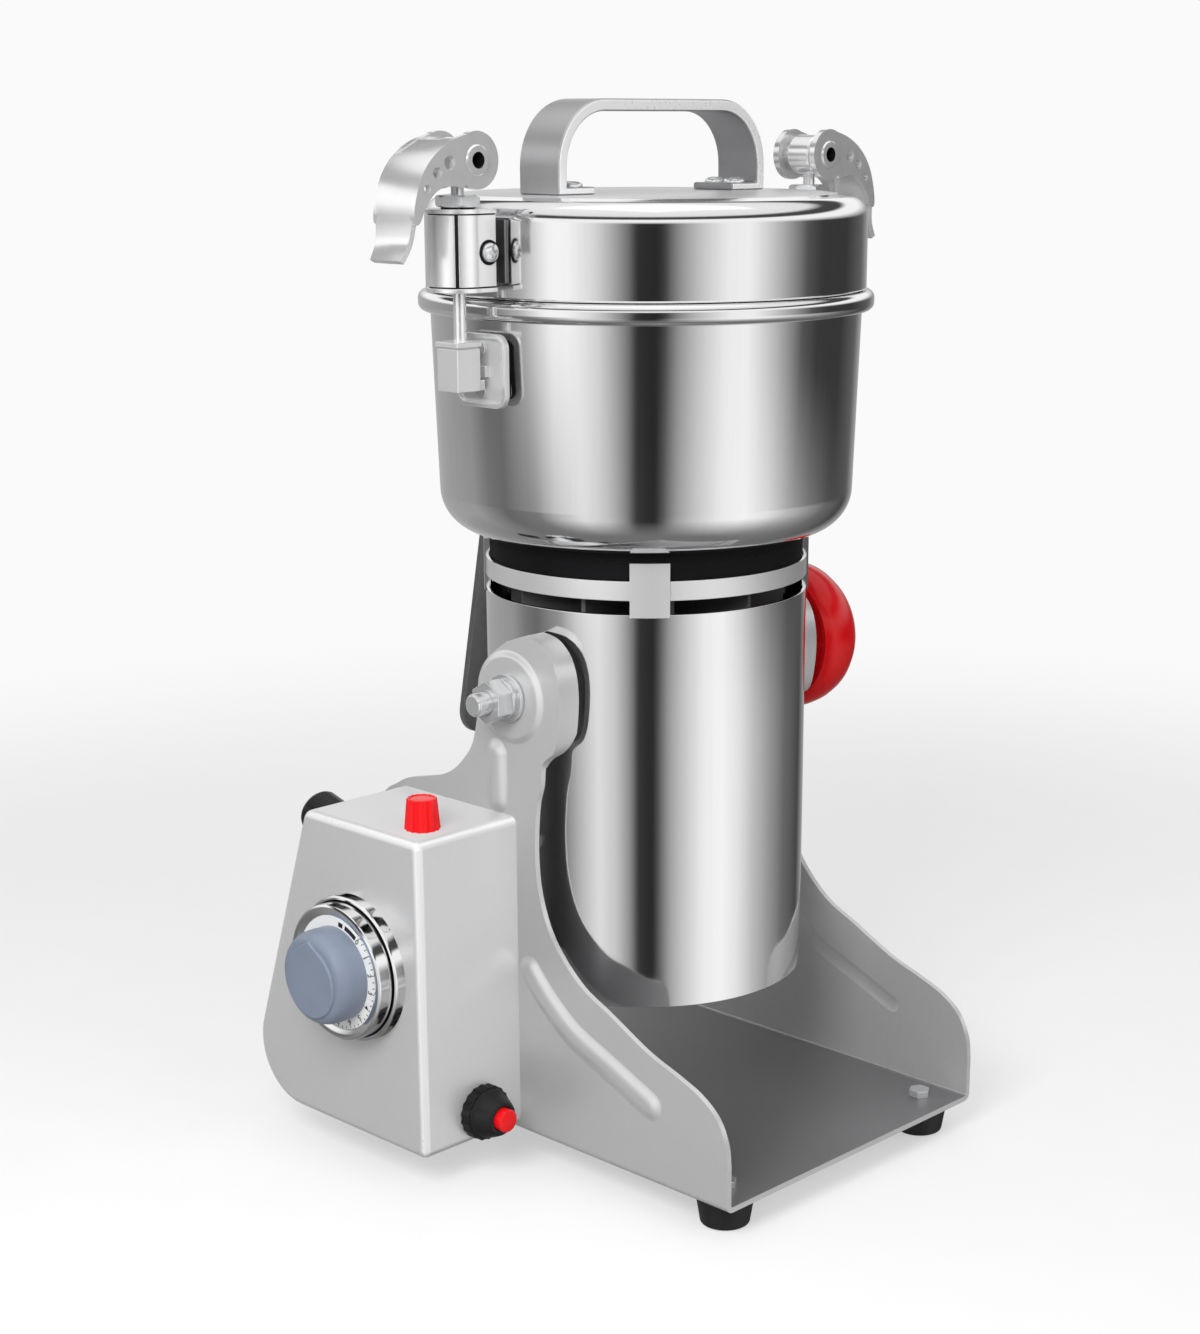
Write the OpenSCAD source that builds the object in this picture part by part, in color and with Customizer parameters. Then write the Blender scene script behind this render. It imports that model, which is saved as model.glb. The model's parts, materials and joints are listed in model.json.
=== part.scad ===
// Electric grain mill on a tilting stand: a steel grinding bowl with a latched lid sits on a
// tubular motor unit, which tips forward between two cheeks to pour the flour out.
// +Z is up along the motor axis, +X the pouring side and -Y the side with the control box.
// Every piece is drawn about the motor axis and then moved so that the origin is the middle of
// the whole outline on the floor.

/* [Base] */
// Length of the base sheet
base_len = 190; // [186:1:200]
// Distance from the motor axis to the front edge of the base
base_front = 102; // [98:1:106]
// Width across the outer faces of the cheeks
base_w = 135; // [133:1:145]
// Thickness of the base sheet
base_t = 2; // [1.5:0.1:2.5]
// Height of the tilting axis above the floor
pivot_h = 171.5; // [168:0.5:178]
// Height of the rubber feet
foot_h = 11; // [8:0.5:14]
// Diameter of the rubber feet
foot_d = 20; // [16:1:22]
// Distance of the foot centres from the ends of the base
foot_inset_x = 13; // [12:1:20]
// Distance of the foot centres from the outer faces of the cheeks
foot_inset_y = 13.5; // [13:0.5:20]

/* [Pivot] */
// Diameter of the pivot bolt and of the clamping stud
pivot_d = 8; // [6:0.5:9]
// Outer diameter of the bushes pressed into the cheeks
bush_d = 12; // [11:0.5:13]
// Diameter of the washers outside the cheeks
washer_d = 17; // [16:0.5:19]
// Width across the flats of the pivot nut
pivot_nut_af = 13; // [12:0.5:14]
// Diameter of the clamping hand knob
lock_knob_d = 52; // [44:1:56]
// Depth of the clamping hand knob
lock_knob_depth = 20; // [17:1:24]

/* [Motor unit] */
// Outer diameter of the motor housing
motor_d = 115; // [112:1:118]
// Wall of the motor housing
motor_t = 1.5; // [1.2:0.1:2]
// Height of the housing below the tilting axis
motor_below = 110.5; // [108:0.5:118]
// Height of the housing above the tilting axis, up to the ventilation slot
motor_above = 30.5; // [30:0.5:34]
// Height of the ventilation slot
vent_slot_h = 4.6; // [3:0.2:6]
// Height of the band above the ventilation slot
vent_band_h = 6.9; // [5:0.1:8]
// Width of the four tabs that carry the band
vent_tab_w = 13.5; // [10:0.5:16]
// Diameter of the rotor shaft
shaft_d = 10; // [9:0.5:11]
// Outer diameter of the two ball bearings
bearing_d = 26; // [24:1:28]
// Thickness of the ball bearings
bearing_h = 8; // [7:0.5:9]
// Diameter of the rotor core
rotor_d = 54; // [48:1:56]
// Length of the laminated cores of rotor and stator
core_h = 50; // [44:1:52]
// Gap between the cooling fan and the motor housing
fan_gap = 6; // [4:0.5:11]

/* [Bowl and blades] */
// Outer diameter of the bowl under its rim
bowl_d = 150; // [148:1:154]
// How much narrower the bowl is at its foot, on the diameter
bowl_taper = 4; // [1:0.5:6]
// Depth of the bowl inside
bowl_depth = 82; // [78:1:90]
// Wall of the bowl
bowl_t = 1.2; // [1:0.1:1.5]
// Radius of the corner at the foot of the bowl
bowl_corner_r = 15; // [12:1:18]
// Height of the rolled rim
rim_h = 6.8; // [5:0.2:8]
// How far the rolled rim stands out from the wall
rim_proud = 4.2; // [3:0.2:5]
// Length of the lower blade from tip to tip
lower_blade_len = 128; // [110:1:130]
// Length of the upper blade from tip to tip
upper_blade_len = 112; // [100:1:124]
// Width of the blades
blade_w = 16; // [12:1:20]
// Thickness of the blades
blade_t = 2.5; // [2:0.1:3]
// Height between the two blades
blade_pitch = 12; // [10:1:14]

/* [Lid] */
// How far the lid stands out past the bowl's wall
lid_overhang = 1.4; // [1:0.1:2]
// Height of the lid from its lower edge to its top
lid_h = 32.2; // [31:0.2:36]
// Sheet thickness of the lid
lid_t = 1.2; // [1:0.1:1.4]
// Radius of the lid's top corner
lid_corner_r = 7; // [5:0.5:9]
// Height of the sealing ring
gasket_h = 4.5; // [4:0.5:5]
// Span of the carrying strap over its outer faces
handle_span = 102; // [90:1:106]
// Height of the carrying strap above the lid
handle_h = 30.7; // [26:0.1:34]
// Width of the carrying strap
handle_w = 19; // [16:0.5:22]
// Thickness of the carrying strap
handle_t = 4; // [3:0.2:4.6]
// Outer radius of the strap's corners
handle_r = 22; // [18:1:24]

/* [Latches] */
// Diameter of the latch rods
rod_d = 4.5; // [4:0.1:5]
// Distance of the rods from the bowl's rim
rod_out = 7.8; // [7.6:0.1:9]
// Diameter of the latch housings
latch_d = 20; // [19:0.5:21]
// Height of the latch housings
latch_h = 26; // [25:0.5:28]
// Sheet thickness of the latch housings
latch_t = 1.4; // [1.2:0.1:1.6]
// Height of the lever pin above the top of the housing
lever_rise = 15; // [14.5:0.5:17]
// Diameter of the ears at the root of the lever
lever_ear_d = 18; // [16:0.5:19]
// Distance from the lever pin out to the lever's back
lever_reach = 27; // [25:0.5:30]
// Distance from the lever pin down to the lever's lip
lever_drop = 30; // [28:0.5:33]
// Width of the lever
lever_w = 19.6; // [19:0.2:21]
// Width of the claw at the end of the rod
claw_w = 14; // [12:0.5:15]
// Height of the claw
claw_h = 16; // [14:0.5:17]
// Side of the square catch plate on the bowl
catch_s = 24; // [22:0.5:26]

/* [Rear handle] */
// Width of the rear grip
grip_w = 24; // [20:1:28]
// Thickness of the rear grip
grip_t = 2.5; // [2:0.1:2.6]
// How far the lower end of the grip hangs below the bowl seat
grip_drop = 85; // [75:1:92]
// Distance of the grip's upper bend behind the motor axis
grip_top_x = 76; // [74:1:80]
// How far the grip's lower end stands further back
grip_lean = 15; // [10:1:18]

/* [Control box] */
// Depth of the control box outwards from the cheek
box_depth = 45.7; // [42:0.1:52]
// Height of the box's top above the floor
box_top = 129; // [126:0.5:134]
// Height of the box's underside above the floor
box_bottom = 13.8; // [13.5:0.1:16]
// Place of the box's front face ahead of the motor axis
box_front = 2; // [0:0.5:4]
// Length of the box's top
box_top_len = 61; // [56:1:66]
// Length of the box at its lower rear corner
box_len = 92; // [88:1:94]
// Radius of the lower rear corner
box_corner_r = 22; // [18:1:24]
// Sheet thickness of the box
box_t = 1.2; // [1:0.1:1.5]
// Distance of the timer behind the box's front face
timer_back = 34; // [32:1:38]
// Height of the timer axis above the floor
timer_h = 77.5; // [72:0.5:82]
// Diameter of the timer's bezel
bezel_d = 51; // [48:0.5:53]
// Depth of the timer's bezel
bezel_depth = 9; // [8:0.5:12]
// Diameter of the timer knob at its root
timer_knob_d = 33; // [28:0.5:36]
// Depth of the timer knob
timer_knob_depth = 14; // [12:0.5:18]
// Diameter of the indicator lens at its root
lens_d = 12.4; // [11:0.2:14]
// Height of the indicator lens
lens_h = 11; // [9:0.5:13]
// Diameter of the circuit breaker's collar
breaker_d = 20; // [18:0.5:22]
// Diameter of the circuit breaker's button
breaker_button_d = 8.4; // [7:0.2:9]
// Travel of the circuit breaker's button
breaker_travel = 2; // [1.5:0.1:2.4]
// Diameter of the cord gland's flange
gland_d = 18; // [16:0.5:20]
// Diameter of the cord gland's bore
gland_bore_d = 7; // [6:0.2:8]

/* [Hidden] */
$fn = 96;

// Clearances between bodies, between pieces of one body, and on running fits
air = 0.3;
seat_gap = 0.05;
run_gap = 0.05;
// Overrun of every cut past the face that it opens
over = 1;
// Small chamfers and edge rounds
edge = 0.6;

// Levels of the stack from the floor up
plate_top = foot_h + base_t;
cheek_in = base_w / 2 - base_t;
cheek_out = base_w / 2;
base_rear = base_len - base_front;
motor_r = motor_d / 2;
motor_in = motor_r - motor_t;
motor_bot = pivot_h - motor_below;
motor_top = pivot_h + motor_above;
band_bot = motor_top + vent_slot_h;
band_top = band_bot + vent_band_h;
grip_z = band_top + air;
seat_bot = grip_z + grip_t;
seat_flange_t = 3.3;
seat_pad_t = 3.4;
bowl_bot = seat_bot + seat_flange_t + seat_pad_t;
bowl_floor = bowl_bot + bowl_t;
rim_top = bowl_floor + bowl_depth;
rim_bot = rim_top - rim_h;
lid_bot = rim_top + air;
lid_top = lid_bot + lid_h;
bowl_r = bowl_d / 2;
bowl_foot_r = bowl_r - bowl_taper / 2;
rim_r = bowl_r + rim_proud;
lid_r = bowl_r + lid_overhang;

// Base sheet: the cheek outline as shares of the base's reach to front or rear and of pivot_h,
// from the front lip over the ear to the rear edge
cheek_front_shares = [[1, 0.16], [0.99, 0.207], [0.95, 0.255], [0.873, 0.29],
    [0.768, 0.315], [0.635, 0.342], [0.458, 0.394], [0.319, 0.435], [0.192, 0.51],
    [0.129, 0.596], [0.111, 0.687], [0.121, 0.781], [0.143, 0.83], [0.155, 0.879],
    [0.21, 0.909], [0.233, 0.971], [0.233, 1.039], [0.205, 1.09], [0.145, 1.122],
    [0.07, 1.131]];
cheek_rear_shares = [[0.02, 1.112], [0.115, 1.076], [0.166, 1.037], [0.188, 0.962],
    [0.223, 0.888], [0.274, 0.85], [0.345, 0.817], [0.428, 0.797], [0.534, 0.783],
    [0.633, 0.77], [0.701, 0.752], [0.77, 0.731], [0.864, 0.676], [0.932, 0.583],
    [0.977, 0.35], [1, 0.175]];
// Centre line of the long bead pressed along the front slope, in the same shares
bead_shares = [[0.08, 0.43], [0.16, 0.38], [0.29, 0.322], [0.458, 0.28], [0.65, 0.232]];
// Upper end of the short upright bead below the ear, in the same shares
short_bead_shares = [-0.074, 0.875];
bead_w = 9;
bead_h = 1.2;
cheek_steps = 3;
quarter = 90;
ear_disc_d = 30;

// Feet and their screws
foot_screw_d = 4;
foot_head_d = 8;
foot_head_h = 2;
foot_nut_af = 7;
foot_dish_h = 4;
foot_waist_share = 0.86;

// Pivot hardware, outwards from the cheeks
boss_d = 22;
bolt_head_d = 13;
bolt_head_h = 4;
washer_t = 1.6;
spring_washer_d = 14;
spring_washer_t = 2;
pivot_nut_h = 6.5;
pivot_tail = 6;
knob_wall = 4;
knob_hub_d = 18;
knob_ribs = 6;
knob_rib_t = 3;
knob_rim_r = 4;
knob_crown_angle = 60;
knob_rim_angle = 50;

// Motor parts
cap_sink = 2;
cap_t = 3;
cap_boss_d = 34;
bearing_lift = 2.5;
air_gap = 0.6;
coil_in_d = 64;
coil_build = 10;
coil_end_h = 7;
coil_span_angle = 120;
coil_leg_angle = 12;
coil_air = 0.4;
commutator_d = 28;
commutator_h = 15;
commutator_rise = 4;
brush_w = 7;
brush_h = 6;
brush_len = 20;
brush_block_w = 14;
brush_block_gap = 3;
rotor_slots = 12;
rotor_slot_depth = 4;
rotor_slot_d = 3.4;
brush_block_len = 27;
brush_block_top = 4;
screw_d = 4;
screw_head_d = 7;
screw_head_h = 2;
through_bolt_pcd = 100;
through_bolt_grip = 12;
fan_h = 16;
fan_drop = 3;
fan_d = 2 * (motor_in - fan_gap);
fan_hub_d = 24;
fan_disc_t = 1.6;
fan_blades = 10;
fan_blade_t = 1.5;
seat_boss_drop = 8.5;
seat_boss_d = 34;
seat_pad_d = 100;
shaft_hole_play = 1;
shaft_hole_d = shaft_d + 2 * shaft_hole_play;
bowl_screw_pcd = 60;
grip_root = 30;
grip_screw_in = [22, 8];

// Blades and seal
seal_d = 30;
seal_h = 5;
blade_lift = 9;
blade_tip_len = 12;
blade_tip_drop = 4;
blade_taper_share = 0.55;
nut_af = 16;
nut_h = 8;
spacer_share = 1.8;
shaft_end = 3;

// Lid
dome_h = 1;
liner_t = 1;
liner_dish_h = 3;
liner_dish_d = 110;
gasket_w = 3.2;
foot_len = 13;
foot_t = 2.5;
lid_screw_d = 4;
lid_screw_head_d = 7.5;
lid_screw_head_h = 1.8;
lid_screw_spread = 9;

// Latches: places from the rim and the rod inwards, and from the housing's foot upwards
rod_y = rim_r + rod_out;
latch_lift = 2.8;
latch_bot = lid_bot + latch_lift;
latch_top = latch_bot + latch_h;
latch_back_in = 7.2;
latch_back = rod_y - latch_back_in;
latch_pin_in = 4;
latch_pin_y = rod_y - latch_pin_in;
latch_pin_rise = 12.5;
latch_pin_z = latch_bot + latch_pin_rise;
latch_pin_d = 3.2;
latch_lip = 0.6;
latch_slit = 0.8;
bracket_t = 0.8;
bracket_w = 21;
bracket_h = 20;
lug_x = 5.2;
lug_t = 1.8;
lug_h = 12;
latch_screw_head_d = 6.2;
latch_screw_head_h = 2;
bush_af = 13;
bush_h = 4;
lever_pin_z = latch_top + lever_rise;
lever_pin_d = 7;
lever_pin_bore_d = 4.4;
lever_flange_t = 2.4;
lever_sheet_t = 2;
rod_eye_d = 14;
rod_eye_w = 10;
claw_drop = 15.8;
claw_top = latch_bot - claw_drop;
claw_bot = claw_top - claw_h;
claw_in = 4.1;
claw_y0 = rod_y - claw_in;
claw_out = 5.9;
claw_y1 = rod_y + claw_out;
toe_h = 3.4;
toe_w_share = 0.75;
catch_rim = 1;
catch_shy = 0.4;
catch_face = rim_r - catch_rim - catch_shy;
catch_rim_w = 1.8;
catch_r = 4;
catch_mid_rise = 6;
catch_mid_z = claw_bot + catch_mid_rise;
nose_h = 3.6;
nose_w = 7;
nose_y = rim_r + air;
rivet_d = 3;
rivet_head_d = 4.4;
rivet_head_h = 0.9;
rivet_spread = 7;
// Outline of the lever's side flanges: the arm as shares of lever_reach and lever_drop
arm_shares = [[0.1, 0.28], [0.4, 0.2], [0.66, 0.06], [0.86, -0.15], [0.97, -0.42],
    [1.0, -0.62], [0.9, -0.62], [0.8, -0.45], [0.62, -0.3], [0.4, -0.26], [0.2, -0.28]];
// Outer face of the lever's back, from its root to its lip, in the same shares
sheet_shares = [[0.36, 0.21], [0.66, 0.06], [0.86, -0.15], [0.97, -0.42], [1.0, -0.66],
    [1.04, -0.84], [1.16, -1.0]];
arm_hole_shares = [[0.43, -0.02, 1], [0.62, -0.12, 0.8], [0.78, -0.28, 0.6]];
arm_hole_d = 4.4;
lip_w_share = 0.74;

// Control box parts
box_y = cheek_out + box_depth;
box_x = box_front;
timer_x = box_x - timer_back;
bezel_rim = 3.4;
bezel_step = 1.6;
bezel_step_h = 3;
dial_t = 1.2;
dial_sink = 1.6;
spindle_d = 6;
spindle_back = 10;
timer_body_s = 40;
timer_body_depth = 18;
knob_draft = 3;
knob_face = 4;
lens_top_share = 0.82;
lens_neck_d = 7;
lamp_nut_af = 12;
lamp_nut_h = 3;
lamp_len = 24;
lamp_back = 13;
lamp_x = box_x - lamp_back;
lamp_in = 14;
lamp_y = box_y - lamp_in;
breaker_out = 19;
breaker_y = cheek_out + breaker_out;
breaker_rise = 11;
breaker_z = box_bottom + breaker_rise;
breaker_cone_d = 18;
breaker_collar_h = 4;
breaker_cone_h = 7.5;
breaker_tip_d = 12;
breaker_len = 20;
breaker_back_d = 13;
button_proud = 3;
rear_drop = box_top - box_bottom - box_corner_r;
rear_back = box_len - box_corner_r - box_top_len;
rear_angle = atan(rear_back / rear_drop) + asin(box_corner_r / norm([rear_back, rear_drop]));
gland_y = cheek_out + box_depth / 2;
gland_down = 15;
gland_flange_h = 3;
gland_thread_d = 12;
gland_thread_h = 9;
gland_cap_h = 15;
gland_cap_r = 4;
gland_back = 8;
gland_nut_af = 16;
gland_nut_h = 4;
tab_len = 12;
tab_h = 10;
box_screw_drop = 14;
box_screw_rise = 26;
box_screw_rear_rise = 34;
box_screw_d = 4;
box_screw_head_d = 7.5;
box_screw_head_h = 1.8;
box_screw_len = 6;
term_len = 34;
term_w = 16;
term_h = 12;
term_pins = 4;
term_pin_d = 4;
term_pin_shares = [0.27, 0.73];

// Points of a smooth curve through p, with n steps between its points
function at(p, i) = p[max(0, min(len(p) - 1, i))];
function spline(a, b, c, d, t) = 0.5 * (2 * b + (c - a) * t + (2 * a - 5 * b + 4 * c - d) * t * t
    + (3 * b - a - 3 * c + d) * t * t * t);
function smooth(p, n) = concat([for (i = [0:len(p) - 2], k = [0:n - 1])
    spline(at(p, i - 1), at(p, i), at(p, i + 1), at(p, i + 2), k / n)], [at(p, len(p))]);
// Points of an arc about c, from angle a to angle b
function arc(c, r, a, b, n = 8) = [for (i = [0:n]) c + r * [cos(a + (b - a) * i / n),
    sin(a + (b - a) * i / n)]];
function to_front(s) = [for (p = s) [p[0] * base_front, p[1] * pivot_h]];
function to_rear(s) = [for (p = s) [-p[0] * base_rear, p[1] * pivot_h]];
// A curve pushed sideways by d, for the inner face of bent sheet
function push(p, d) = [for (i = [0:len(p) - 1]) let (v = at(p, i + 1) - at(p, i - 1))
    p[i] + d * [v[1], -v[0]] / norm(v)];
function reverse(p) = [for (i = [len(p) - 1:-1:0]) p[i]];

// A cylinder along Y or X between two faces
module y_bar(d, y0, y1, x = 0, z = 0) {
    translate([x, y0, z]) rotate([-90, 0, 0]) cylinder(h = y1 - y0, d = d);
}
module x_bar(d, x0, x1, y = 0, z = 0) {
    translate([x0, y, z]) rotate([0, 90, 0]) cylinder(h = x1 - x0, d = d);
}
// A flat outline drawn in X and Z, given a thickness along Y
module slab(y0, y1) {
    translate([0, y1, 0]) rotate([90, 0, 0]) linear_extrude(y1 - y0) children();
}
// A flat outline drawn in Y and Z, given a thickness along X
module slice(x0, x1) {
    translate([x0, 0, 0]) rotate([90, 0, 90]) linear_extrude(x1 - x0) children();
}
module hexagon(af, h) {
    cylinder(h = h, d = af / cos(30), $fn = 6);
}
// A band with round ends along a line of points
module bead(p, w) {
    n = len(p) - 1;
    a = atan2(p[1][1] - p[0][1], p[1][0] - p[0][0]);
    b = atan2(p[n][1] - p[n - 1][1], p[n][0] - p[n - 1][0]);
    polygon(concat(arc(p[0], w / 2, a - quarter, a - 3 * quarter), push([for (i = [1:n - 1]) p[i]], -w / 2),
        arc(p[n], w / 2, b + quarter, b - quarter), reverse(push([for (i = [1:n - 1]) p[i]], w / 2))));
}
module round_square(w, h, r) {
    translate([-w / 2, r - h / 2]) square([w, h - 2 * r]);
    translate([r - w / 2, -h / 2]) square([w - 2 * r, h]);
    for (sx = [-1, 1], sz = [-1, 1]) translate([sx * (w / 2 - r), sz * (h / 2 - r)]) circle(r, $fn = 32);
}
// A part of a ring: inner radius, radial width, start angle, angle, foot and height
module ring_part(r, w, a, da, z, h) {
    rotate([0, 0, a]) rotate_extrude(angle = da) translate([r, z]) square([w, h]);
}
module sides() {
    children();
    mirror([0, 1, 0]) children();
}

// Base frame: floor plate and two cheeks of one bent sheet, with pressed beads
module cheek_outline() {
    polygon(concat([[base_front, foot_h]],
        [for (p = smooth(to_front(cheek_front_shares), cheek_steps)) [min(p[0], base_front), p[1]]],
        [for (p = smooth(to_rear(cheek_rear_shares), cheek_steps)) [max(p[0], -base_rear), p[1]]],
        [[-base_rear, foot_h]]));
}
foot_x = [base_front - foot_inset_x, foot_inset_x - base_rear];
foot_y = cheek_out - foot_inset_y;
box_screw_places = [[box_x - box_t - tab_len / 2, box_top - box_screw_drop],
    [box_x - box_t - tab_len / 2, box_bottom + box_screw_rise],
    [box_x - box_len + tab_len - edge, box_bottom + box_screw_rear_rise]];
module base_frame() {
    color("gainsboro") difference() {
        union() {
            translate([-base_rear, -cheek_out, foot_h]) cube([base_len, base_w, base_t]);
            sides() {
                slab(-cheek_out, -cheek_in) cheek_outline();
                slab(-cheek_out - bead_h, -cheek_in - over / 2) {
                    bead(smooth(to_front(bead_shares), 2), bead_w);
                    bead([to_front([short_bead_shares])[0],
                        [short_bead_shares[0] * base_front, box_top + bead_w / 2 + edge]], bead_w);
                    translate([0, pivot_h]) circle(d = ear_disc_d);
                }
            }
        }
        y_bar(bush_d, -cheek_out - 2 * over - bead_h, cheek_out + 2 * over + bead_h, 0, pivot_h);
        for (x = foot_x, s = [-1, 1]) translate([x, s * foot_y, foot_h - over])
            cylinder(h = base_t + 2 * over, d = foot_screw_d + 2 * seat_gap);
        for (p = box_screw_places)
            y_bar(box_screw_d + 2 * seat_gap, -cheek_out - 3 * over, -cheek_in + over, p[0], p[1]);
    }
}

// Feet with a dished underside for the screw head
module rubber_feet() {
    color([0.08, 0.08, 0.08]) for (x = foot_x, s = [-1, 1]) translate([x, s * foot_y, 0])
        rotate_extrude() polygon([[foot_head_d / 2 + 2 * edge, 0],
            [foot_d / 2 * foot_waist_share - edge, 0], [foot_d / 2 * foot_waist_share, edge],
            [foot_d / 2, foot_h - 3 * edge], [foot_d / 2, foot_h],
            [foot_screw_d / 2 + seat_gap, foot_h], [foot_screw_d / 2 + seat_gap, foot_dish_h],
            [foot_head_d / 2 + 2 * edge, foot_dish_h]]);
}
module foot_screws() {
    color("silver") for (x = foot_x, s = [-1, 1]) translate([x, s * foot_y, 0]) {
        translate([0, 0, foot_dish_h - foot_head_h]) cylinder(h = foot_head_h, d = foot_head_d);
        translate([0, 0, foot_dish_h - edge])
            cylinder(h = plate_top + foot_head_h - foot_dish_h + edge, d = foot_screw_d);
        translate([0, 0, plate_top]) hexagon(foot_nut_af, foot_head_h + edge);
    }
}

// Pivot: bushes in the cheeks, a bolt on the left and a clamping stud on the right
pivot_face = cheek_out + bead_h + air;
nut_y0 = pivot_face + washer_t;
nut_y1 = nut_y0 + seat_gap + spring_washer_t;
nut_y2 = nut_y1 + seat_gap + pivot_nut_h;
knob_y0 = pivot_face + washer_t + air;
module pivot_bushes() {
    color("goldenrod") translate([0, 0, pivot_h]) for (s = [-1, 1]) difference() {
        y_bar(bush_d, min(s * cheek_in, s * (cheek_out + bead_h)),
            max(s * cheek_in, s * (cheek_out + bead_h)));
        y_bar(pivot_d + 2 * run_gap, -cheek_out - 2 * over - bead_h, cheek_out + 2 * over + bead_h);
    }
}
module pivot_bolt() {
    color("silver") translate([0, 0, pivot_h]) {
        y_bar(pivot_d, -nut_y2 - pivot_tail + edge, -motor_in + bolt_head_h);
        y_bar(pivot_d - 2 * edge, -nut_y2 - pivot_tail, -nut_y2);
        y_bar(bolt_head_d, -motor_in + over, -motor_in + over + bolt_head_h);
    }
}
module pivot_nuts() {
    color("silver") translate([0, 0, pivot_h]) {
        for (s = [-1, 1]) difference() {
            y_bar(washer_d, min(s * pivot_face, s * nut_y0), max(s * pivot_face, s * nut_y0));
            y_bar(pivot_d + 2 * seat_gap, -nut_y2, nut_y2);
        }
        difference() {
            y_bar(spring_washer_d, -nut_y1, -nut_y0 - seat_gap);
            y_bar(pivot_d + 2 * seat_gap, -nut_y2, 0);
        }
        difference() {
            translate([0, -nut_y1 - seat_gap, 0]) rotate([90, 30, 0]) hexagon(pivot_nut_af, pivot_nut_h);
            y_bar(pivot_d + 2 * seat_gap, -nut_y2 - over, 0);
        }
    }
}
module lock_stud() {
    color("silver") translate([0, 0, pivot_h]) {
        y_bar(pivot_d, motor_in - bolt_head_h, knob_y0 + lock_knob_depth - knob_wall - over);
        y_bar(bolt_head_d, motor_in - over - bolt_head_h, motor_in - over);
    }
}
// Hand knob: a dished disc with a thick rolled edge, a hub and ribs on its inner side
module lock_knob() {
    r = lock_knob_d / 2;
    d = lock_knob_depth;
    color("red") translate([0, knob_y0, pivot_h]) difference() {
        rotate([-90, 0, 0]) {
            rotate_extrude() polygon(concat([[0, d]],
                arc([r - 2 * knob_rim_r, d - knob_rim_r], knob_rim_r, quarter, knob_crown_angle, 3),
                arc([r - knob_rim_r, d / 2], knob_rim_r, knob_rim_angle, -quarter, 8),
                [[r - 2 * knob_rim_r, d / 2 - knob_rim_r + edge], [r - 2 * knob_rim_r, d - 2 * knob_wall],
                [0, d - knob_wall]]));
            cylinder(h = d - edge, d = knob_hub_d);
            for (i = [0:knob_ribs - 1]) rotate([0, 0, i * 360 / knob_ribs])
                translate([0, -knob_rib_t / 2, d / 2 - knob_rim_r + 2 * edge])
                    cube([r - 1.5 * knob_rim_r, knob_rib_t, d / 2 + knob_rim_r - knob_wall - 2 * edge]);
        }
        y_bar(pivot_d + 2 * run_gap, -over, d - knob_wall);
    }
}

// Motor housing: polished tube, trunnion bosses, ventilation band and its four tabs
tab_top = grip_z + grip_t + seat_flange_t;
module motor_housing() {
    color("silver") difference() {
        union() {
            translate([0, 0, motor_bot]) cylinder(h = motor_above + motor_below, r = motor_r);
            y_bar(boss_d, -cheek_in + air, cheek_in - air, 0, pivot_h);
            translate([0, 0, band_bot]) cylinder(h = vent_band_h, r = motor_r);
            intersection() {
                translate([0, 0, motor_top - over])
                    cylinder(h = tab_top - motor_top + over, r = motor_r + edge);
                for (i = [0:1]) rotate([0, 0, 45 + 90 * i])
                    translate([-motor_d, -vent_tab_w / 2, motor_top - over])
                        cube([2 * motor_d, vent_tab_w, tab_top - motor_top + over]);
            }
        }
        translate([0, 0, motor_bot - over]) cylinder(h = bowl_bot - motor_bot, r = motor_in);
        y_bar(pivot_d + 2 * seat_gap, -cheek_in - over, cheek_in + over, 0, pivot_h);
    }
}
module motor_end_cap() {
    z = motor_bot + cap_sink;
    color("dimgray") difference() {
        union() {
            translate([0, 0, z]) cylinder(h = cap_t, r = motor_in - seat_gap);
            translate([0, 0, z]) cylinder(h = cap_t + bearing_h, d = cap_boss_d);
        }
        translate([0, 0, z + bearing_lift]) cylinder(h = bearing_h + cap_t, d = bearing_d + 2 * seat_gap);
        translate([0, 0, z - over]) cylinder(h = cap_t, d = shaft_hole_d);
        for (a = [45:90:315]) rotate([0, 0, a]) translate([through_bolt_pcd / 2, 0, z - over])
            cylinder(h = cap_t + 2 * over, d = screw_d + 2 * seat_gap);
    }
}
brush_z = motor_bot + cap_sink + cap_t + bearing_h + commutator_rise;
brush_mid = brush_z + commutator_h / 2;
core_bot = brush_mid + brush_h / 2 + brush_block_top + 2 * air + coil_end_h;
core_top = core_bot + core_h;
module motor_screws() {
    z = motor_bot + cap_sink;
    color("silver") {
        for (a = [45:90:315]) rotate([0, 0, a]) translate([through_bolt_pcd / 2, 0, 0]) {
            translate([0, 0, z - screw_head_h]) cylinder(h = screw_head_h, d = screw_head_d);
            translate([0, 0, z - edge])
                cylinder(h = core_bot + through_bolt_grip - z + edge, d = screw_d);
        }
        for (a = [0:90:270]) rotate([0, 0, a]) translate([bowl_screw_pcd / 2, 0, 0]) {
            translate([0, 0, bowl_floor]) cylinder(h = screw_head_h, d = screw_head_d);
            translate([0, 0, seat_bot]) cylinder(h = bowl_floor - seat_bot + edge, d = screw_d);
        }
    }
}
grip_screw_x = [for (d = grip_screw_in) d - motor_in];
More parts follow.
